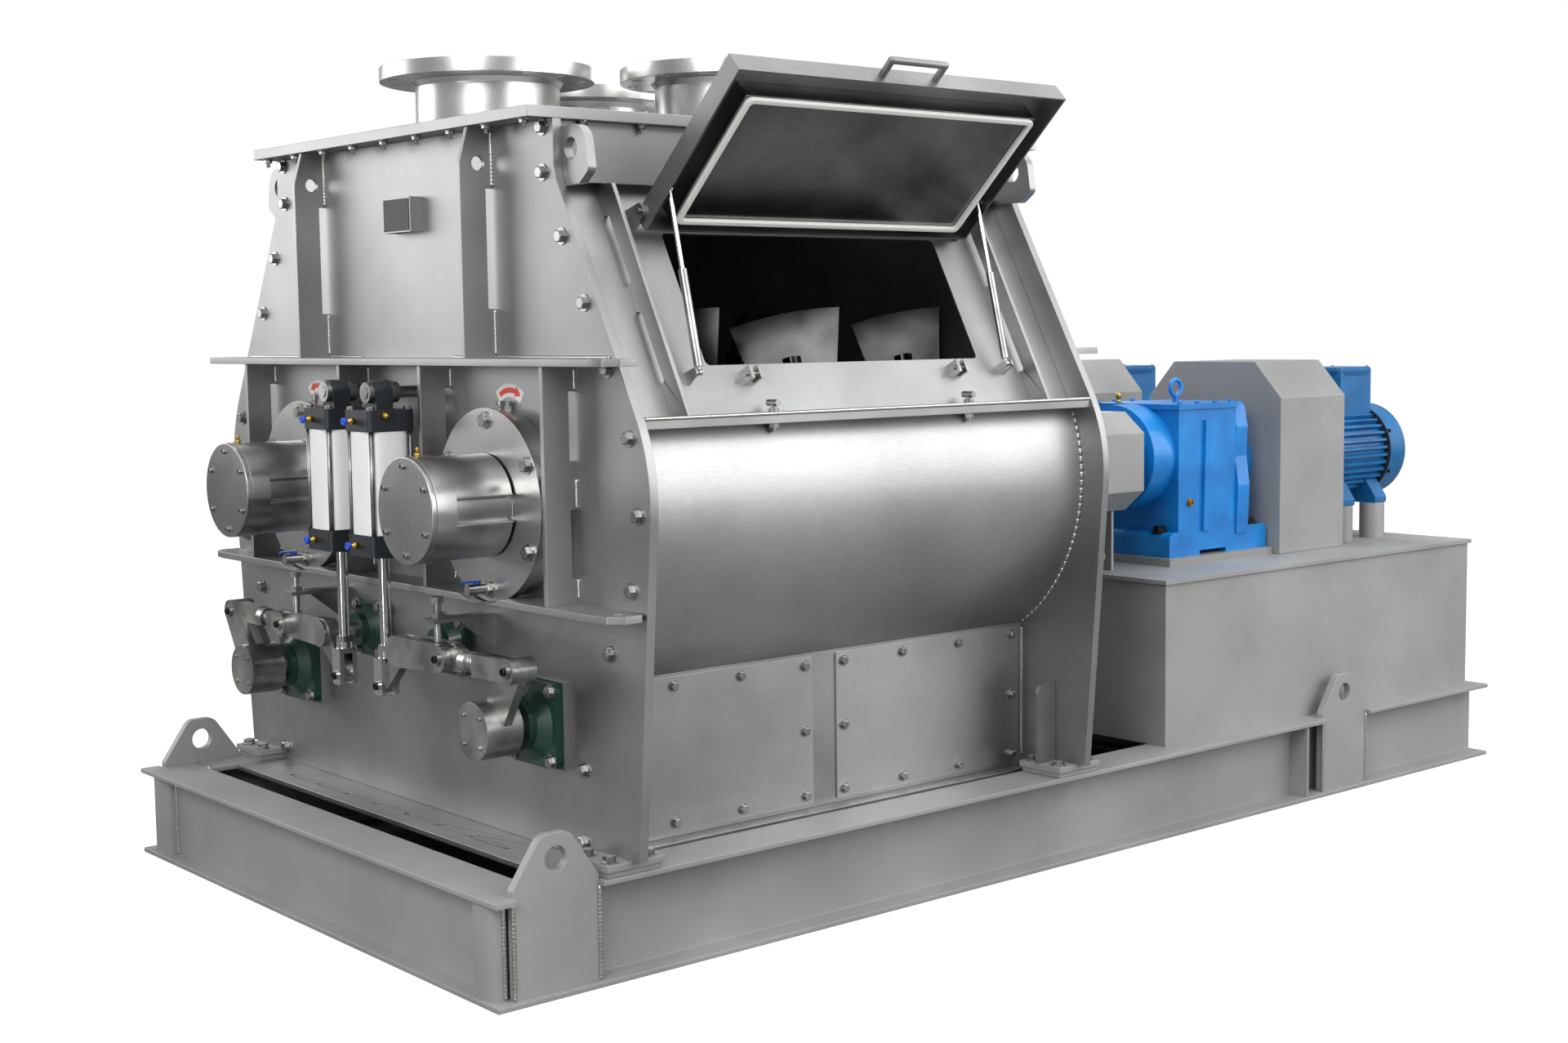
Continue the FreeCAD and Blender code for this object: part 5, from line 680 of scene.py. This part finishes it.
# Air cylinders
# Black anodised end caps with a clear anodised barrel and four steel tie rods between them; brass
# elbows with blue release rings screw into the caps. The piston rods are hard chromed.
cap_black = mottled("black_anodised_aluminium", "#2a2e31", "#42474b", 350, (0.3, 0.5), 0.5)
dress(["air_cylinder_left", "air_cylinder_right"], cap_black, 0.001)

chrome = mottled("hard_chrome", "#bfc0c1", "#d9dadb", 120, (0.08, 0.18), 1.0)
dress(["piston_rod_left", "piston_rod_right"], chrome, 0.0)

barrel_alloy = bpy.data.materials.new("clear_anodised_aluminium")
barrel_alloy.use_nodes = True
barrel_tree = barrel_alloy.node_tree
shader = barrel_tree.nodes["Principled BSDF"]
place = add(barrel_tree, "ShaderNodeTexCoord")
# the drawing lines are about 2 mm apart and run up the barrel
lines = add(barrel_tree, "ShaderNodeMapping", {"Scale": (1.0, 1.0, 0.03)}, {"Vector": place.outputs["Object"]})
drawn = add(barrel_tree, "ShaderNodeTexNoise", {"Scale": 500.0, "Detail": 2.0}, {"Vector": lines.outputs["Vector"]})
tone = add(barrel_tree, "ShaderNodeValToRGB", {}, {"Fac": drawn.outputs["Fac"]})
tone.color_ramp.elements[0].color = linear("#eeeeee")
tone.color_ramp.elements[1].color = linear("#fafafa")
barrel_tree.links.new(tone.outputs["Color"], shader.inputs["Base Color"])
shader.inputs["Roughness"].default_value = 0.3
shader.inputs["Metallic"].default_value = 0.05

ring_blue = mottled("blue_acetal", "#1745bd", "#2458dd", 200, (0.3, 0.42))


def squircle_tube(centre_x, centre_y, half, low, high, count=96):
    """A barrel with a rounded square section: the radius is half over the fourth root of cos^4 plus
    sin^4 of the angle, pinched by four shallow grooves, and carried straight up."""
    turn = np.arange(count) * 2 * math.pi / count
    radius = half / (np.cos(turn) ** 4 + np.sin(turn) ** 4) ** 0.25
    radius *= 1 - 0.05 * np.exp(-((np.mod(turn, math.pi / 2) - math.pi / 4) / 0.12) ** 2)
    flat = np.stack([centre_x + radius * np.cos(turn), centre_y + radius * np.sin(turn)], 1)
    levels = np.linspace(low, high, 5)
    points = np.concatenate([np.column_stack([flat, np.full(count, level_z)]) for level_z in levels])
    rows = np.arange(4)[:, None] * count
    here = np.arange(count)[None, :]
    on = (here + 1) % count
    return points, np.stack([rows + here, rows + on, rows + count + on, rows + count + here], -1).reshape(-1, 4)


cylinder_x = -1.510
elbow = turned([(0, -0.001), (0.0075, -0.001), (0.0075, 0.009), (0.0055, 0.011), (0.0055, 0.018), (0, 0.018)], 6)
collet = turned([(0, 0.018), (0.0078, 0.018), (0.0086, 0.020), (0.0086, 0.025), (0.0072, 0.027), (0.004, 0.027),
                 (0.004, 0.021), (0, 0.021)], 18)
for side, name in ((-1, "left"), (1, "right")):
    body = "air_cylinder_" + name
    y = side * clevis_y
    vertices, faces = squircle_tube(cylinder_x, y, 0.0538, 0.8425, 1.0635)
    finished(surface("barrel_" + name, vertices, [faces], True), barrel_alloy, body)
    rods = [(cylinder_x + a, y + b, 0.842) for a in (-0.047, 0.047) for b in (-0.047, 0.047)]
    rod = turned([(0, 0.0), (0.0052, 0.0), (0.0052, 0.222), (0, 0.222)], 12)
    vertices, faces = repeated(rod, rods, (0, 0, 1))
    finished(surface("tie_rods_" + name, vertices, [faces], True), plated, body)
    nut = turned([(0, 0), (0.0085, 0), (0.0085, 0.006), (0.0072, 0.007), (0, 0.007)], 6)
    vertices, faces = repeated(nut, [(cylinder_x + a, y + b, 1.110) for a in (-0.044, 0.044)
                                    for b in (-0.044, 0.044)], (0, 0, 1))
    finished(surface("tie_rod_nuts_" + name, vertices, [faces]), screw_steel, body)
    ports = [(-1.565, y + 0.012, 1.086), (-1.565, y + 0.012, 0.819)]
    for shape, material, label in ((elbow, brass, "fittings_"), (collet, ring_blue, "release_rings_")):
        vertices, faces = repeated(shape, ports, (-1, 0, 0))
        finished(surface(label + name, vertices, [faces], True), material, body)
    side_ports = [(-1.53, y + side * 0.055, 1.098)]
    vertices, faces = repeated(elbow, side_ports, (0, side, 0))
    finished(surface("side_fitting_" + name, vertices, [faces], True), brass, body)

# purge valve handles: zinc levers dipped in blue plastic
handle_dip = mottled("blue_dipped_vinyl", "#173ea6", "#2350c8", 150, (0.3, 0.5))
dress(["valve_handle_left", "valve_handle_right"], handle_dip, 0.0012)


# Hatch
# A folded stainless lid, brushed outside, with a smooth inner pan, a white sponge gasket, a bent bow
# handle, two chromed gas struts and swing clamps with tee screws.
# the lid's brushed sheet is coloured darker than the same sheet on the panels, painted shade that holds down its
# bright reflection
dress(["lid_shell"], stainless("brushed_lid_stainless_painted_shade", "#7d7e7e", "#a2a3a3", 0.46, (0.08, 1.0, 1.0), 2.4), 0.0012)
dress(["lid_window"], stainless("rolled_bright_stainless", "#666767", "#8f9090", 0.2, (0.05, 1.0, 1.0), 5.0), 0.001)
sponge = mottled("white_silicone_sponge", "#e2e2de", "#f3f3ef", 900, (0.65, 0.75), 0.0, 0.3)
dress(["lid_gasket"], sponge, 0.002)
dress(["strut_rod_front", "strut_rod_back"], chrome, 0.0)
dress(["strut_tube_front", "strut_tube_back"], plated, 0.0)
dress(["clamp_screw_front", "clamp_screw_back"], plated, 0.0006)


# Drives
# Cast iron gearboxes and motors in blue machine enamel with a light sand texture, on base plates
# over the drive box; the couplings and the belts run under grey sheet guards.
def enamel(name, dark, light, fleck):
    """Blue machine enamel: soft tone drift with small dark flecks of its sand texture, which also
    raises a bump, and plain grey steel on the plates under the gearboxes, up to their top at 652 mm."""
    paint = bpy.data.materials.new(name)
    paint.use_nodes = True
    tree = paint.node_tree
    shader = tree.nodes["Principled BSDF"]
    place = add(tree, "ShaderNodeTexCoord")
    # the sand texture is about 3 mm from lump to lump
    sand = add(tree, "ShaderNodeTexNoise", {"Scale": 300.0, "Detail": 5.0}, {"Vector": place.outputs["Object"]})
    drift = add(tree, "ShaderNodeTexNoise", {"Scale": 9.0, "Detail": 4.0}, {"Vector": place.outputs["Object"]})
    tone = add(tree, "ShaderNodeValToRGB", {}, {"Fac": drift.outputs["Fac"]})
    tone.color_ramp.elements[0].position = 0.3
    tone.color_ramp.elements[0].color = linear(dark)
    tone.color_ramp.elements[1].position = 0.7
    tone.color_ramp.elements[1].color = linear(light)
    relief = add(tree, "ShaderNodeBump", {"Strength": 0.5, "Distance": 0.0008}, {"Height": sand.outputs["Fac"]})
    pits = add(tree, "ShaderNodeMapRange", {"From Min": 0.56, "From Max": 0.66, "To Max": 0.6},
               {"Value": sand.outputs["Fac"]})
    speckled = add(tree, "ShaderNodeMix", {7: linear(fleck)}, {0: pits.outputs["Result"], 6: tone.outputs["Color"]},
                   data_type="RGBA")
    levels = add(tree, "ShaderNodeSeparateXYZ", {}, {"Vector": place.outputs["Object"]})
    above = add(tree, "ShaderNodeMath", {1: 0.6524}, {0: levels.outputs["Z"]}, operation="GREATER_THAN")
    coated = add(tree, "ShaderNodeMix", {6: linear("#8a8b89")}, {0: above.outputs[0], 7: speckled.outputs[2]},
                 data_type="RGBA")
    tree.links.new(coated.outputs[2], shader.inputs["Base Color"])
    tree.links.new(relief.outputs["Normal"], shader.inputs["Normal"])
    shader.inputs["Roughness"].default_value = 0.4
    shader.inputs["Coat Weight"].default_value = 0.15
    return paint


blue_enamel = enamel("blue_gearbox_enamel", "#0769b6", "#108bdb", "#064c8c")
motor_enamel = enamel("blue_motor_enamel", "#08568c", "#1472b0", "#063e68")
dress(["gearboxes"], blue_enamel, 0.003)
dress(["motors"], motor_enamel, 0.0012)

# gearbox fittings: black foot screws, a ring of lid screws, a brass oil plug and a brass breather
foot_screws, lid_screws, plugs = [], [], []
for side in (-1, 1):
    y = side * rotor_y
    foot_screws += [(0.582, y + across, 0.718) for across in (-0.101, 0.101)]
    foot_screws += [(0.936, y + across, 0.718) for across in (-0.125, 0.125)]
    lid_screws += [(x, y + across, 1.058) for x in (0.612, 0.686, 0.760, 0.828) for across in (-0.143, 0.143)]
    plugs += [(0.646, y - 0.150, 0.796)]
vertices, faces = repeated(hex_screw(0.034), foot_screws, (0, 0, 1))
finished(surface("gearbox_foot_screws", vertices, [faces]), black_screw)
vertices, faces = repeated(hex_screw(0.014), lid_screws, (0, 0, 1))
finished(surface("gearbox_lid_screws", vertices, [faces]), blue_enamel)
plug = joined([turned([(0, -0.001), (0.0115, -0.001), (0.0115, 0.003), (0, 0.003)], 20),
               turned([(0, 0.003), (0.0098, 0.003), (0.0098, 0.008), (0.0088, 0.009), (0.0048, 0.009),
                       (0.0048, 0.004), (0, 0.004)], 6)])
vertices, faces = repeated(plug, plugs, (0, -1, 0))
finished(surface("oil_plugs", vertices, [faces]), brass)
breather = joined([turned([(0, -0.001), (0.008, -0.001), (0.008, 0.007), (0, 0.007)], 6),
                   turned([(0, 0.007), (0.0065, 0.007), (0.0065, 0.013), (0.0085, 0.015), (0.0078, 0.023),
                           (0.004, 0.026), (0, 0.027)], 16)])
vertices, faces = repeated(breather, [(0.655, side * rotor_y + 0.105, 1.058) for side in (-1, 1)], (0, 0, 1))
finished(surface("breathers", vertices, [faces], True), brass)

# motor fittings: a black ring in the open gap in front of the fan cowl and black rings in the slots of its grille
# at the back, both painted shade, and the flared lid of the terminal box with four screws
motor_z, cowl_radius = 0.888, 0.138
gap_shade_black = mottled("black_painted_gap_shade", "#0c0c0d", "#1d1d1f", 180, (0.6, 0.8))
gap_ring = turned([(0.117, 0.0), (0.1374, 0.0), (0.1374, 0.004), (0.117, 0.004), (0.117, 0.0)], 64)
vertices, faces = repeated(gap_ring, [(1.5960, side * rotor_y, motor_z) for side in (-1, 1)], (1, 0, 0))
finished(surface("cowl_gap_shade", vertices, [faces]), gap_shade_black)
slots = joined([turned([(r, 0.0), (r + 0.004, 0.0), (r + 0.004, 0.0006), (r, 0.0006), (r, 0.0)], 48)
                for r in (0.020, 0.032, 0.044, 0.056, 0.068, 0.080, 0.092, 0.104)])
vertices, faces = repeated(slots, [(1.6900, side * rotor_y, motor_z) for side in (-1, 1)], (1, 0, 0))
finished(surface("cowl_grille_shade", vertices, [faces]), gap_shade_black)
rim_screws = [(1.608, side * rotor_y + cowl_radius * math.cos(t), motor_z + cowl_radius * math.sin(t))
              for side in (-1, 1) for t in (0.4, 2.7, 3.6, 5.8)]
outward = [(0, math.cos(t), math.sin(t)) for side in (-1, 1) for t in (0.4, 2.7, 3.6, 5.8)]
vertices, faces = repeated(hex_screw(0.010), rim_screws, outward)
finished(surface("cowl_screws", vertices, [faces]), black_screw)


def flared_lid(low, high, flare):
    """A lid whose rim widens upward: rounded rectangles at four heights, each a superellipse of power
    six about the middle, closed by poles at the top and the bottom."""
    low, high = np.array(low, float), np.array(high, float)
    middle, half = (low + high) / 2, (high - low) / 2
    turn = np.arange(48) * 2 * math.pi / 48
    shape = (np.abs(np.cos(turn)) ** 6 + np.abs(np.sin(turn)) ** 6) ** (-1 / 6)
    levels = [(0.0, low[2]), (1.0, low[2]), (1.0 + flare, low[2] + (high[2] - low[2]) * 0.55),
              (1.0 + flare, high[2] - 0.002), (1.0 + flare * 0.6, high[2]), (0.0, high[2])]
    rings = np.concatenate([np.column_stack([middle[0] + half[0] * k * shape * np.cos(turn),
                                             middle[1] + half[1] * k * shape * np.sin(turn),
                                             np.full(48, z)]) for k, z in levels])
    rows = np.arange(len(levels) - 1)[:, None] * 48
    here = np.arange(48)[None, :]
    on = (here + 1) % 48
    return rings, np.stack([rows + here, rows + on, rows + 48 + on, rows + 48 + here], -1).reshape(-1, 4)


lid_top = 1.1375
lids = joined([flared_lid((1.4415, side * rotor_y - 0.0695, 1.112), (1.5965, side * rotor_y + 0.0695, lid_top), 0.07)
               for side in (-1, 1)])
finished(surface("terminal_box_lids", lids[0], [lids[1]]), motor_enamel)
vertices, faces = repeated(hex_screw(0.008), [(x, side * rotor_y + across, lid_top) for side in (-1, 1)
                                              for x in (1.452, 1.586) for across in (-0.060, 0.060)], (0, 0, 1))
finished(surface("terminal_lid_screws", vertices, [faces]), screw_steel)

guard_paint = sprayed_grey("satin_grey_guard_paint", "#9c9d9c", 0.40)
dress(["coupling_guards", "belt_guards"], guard_paint, 0.002)
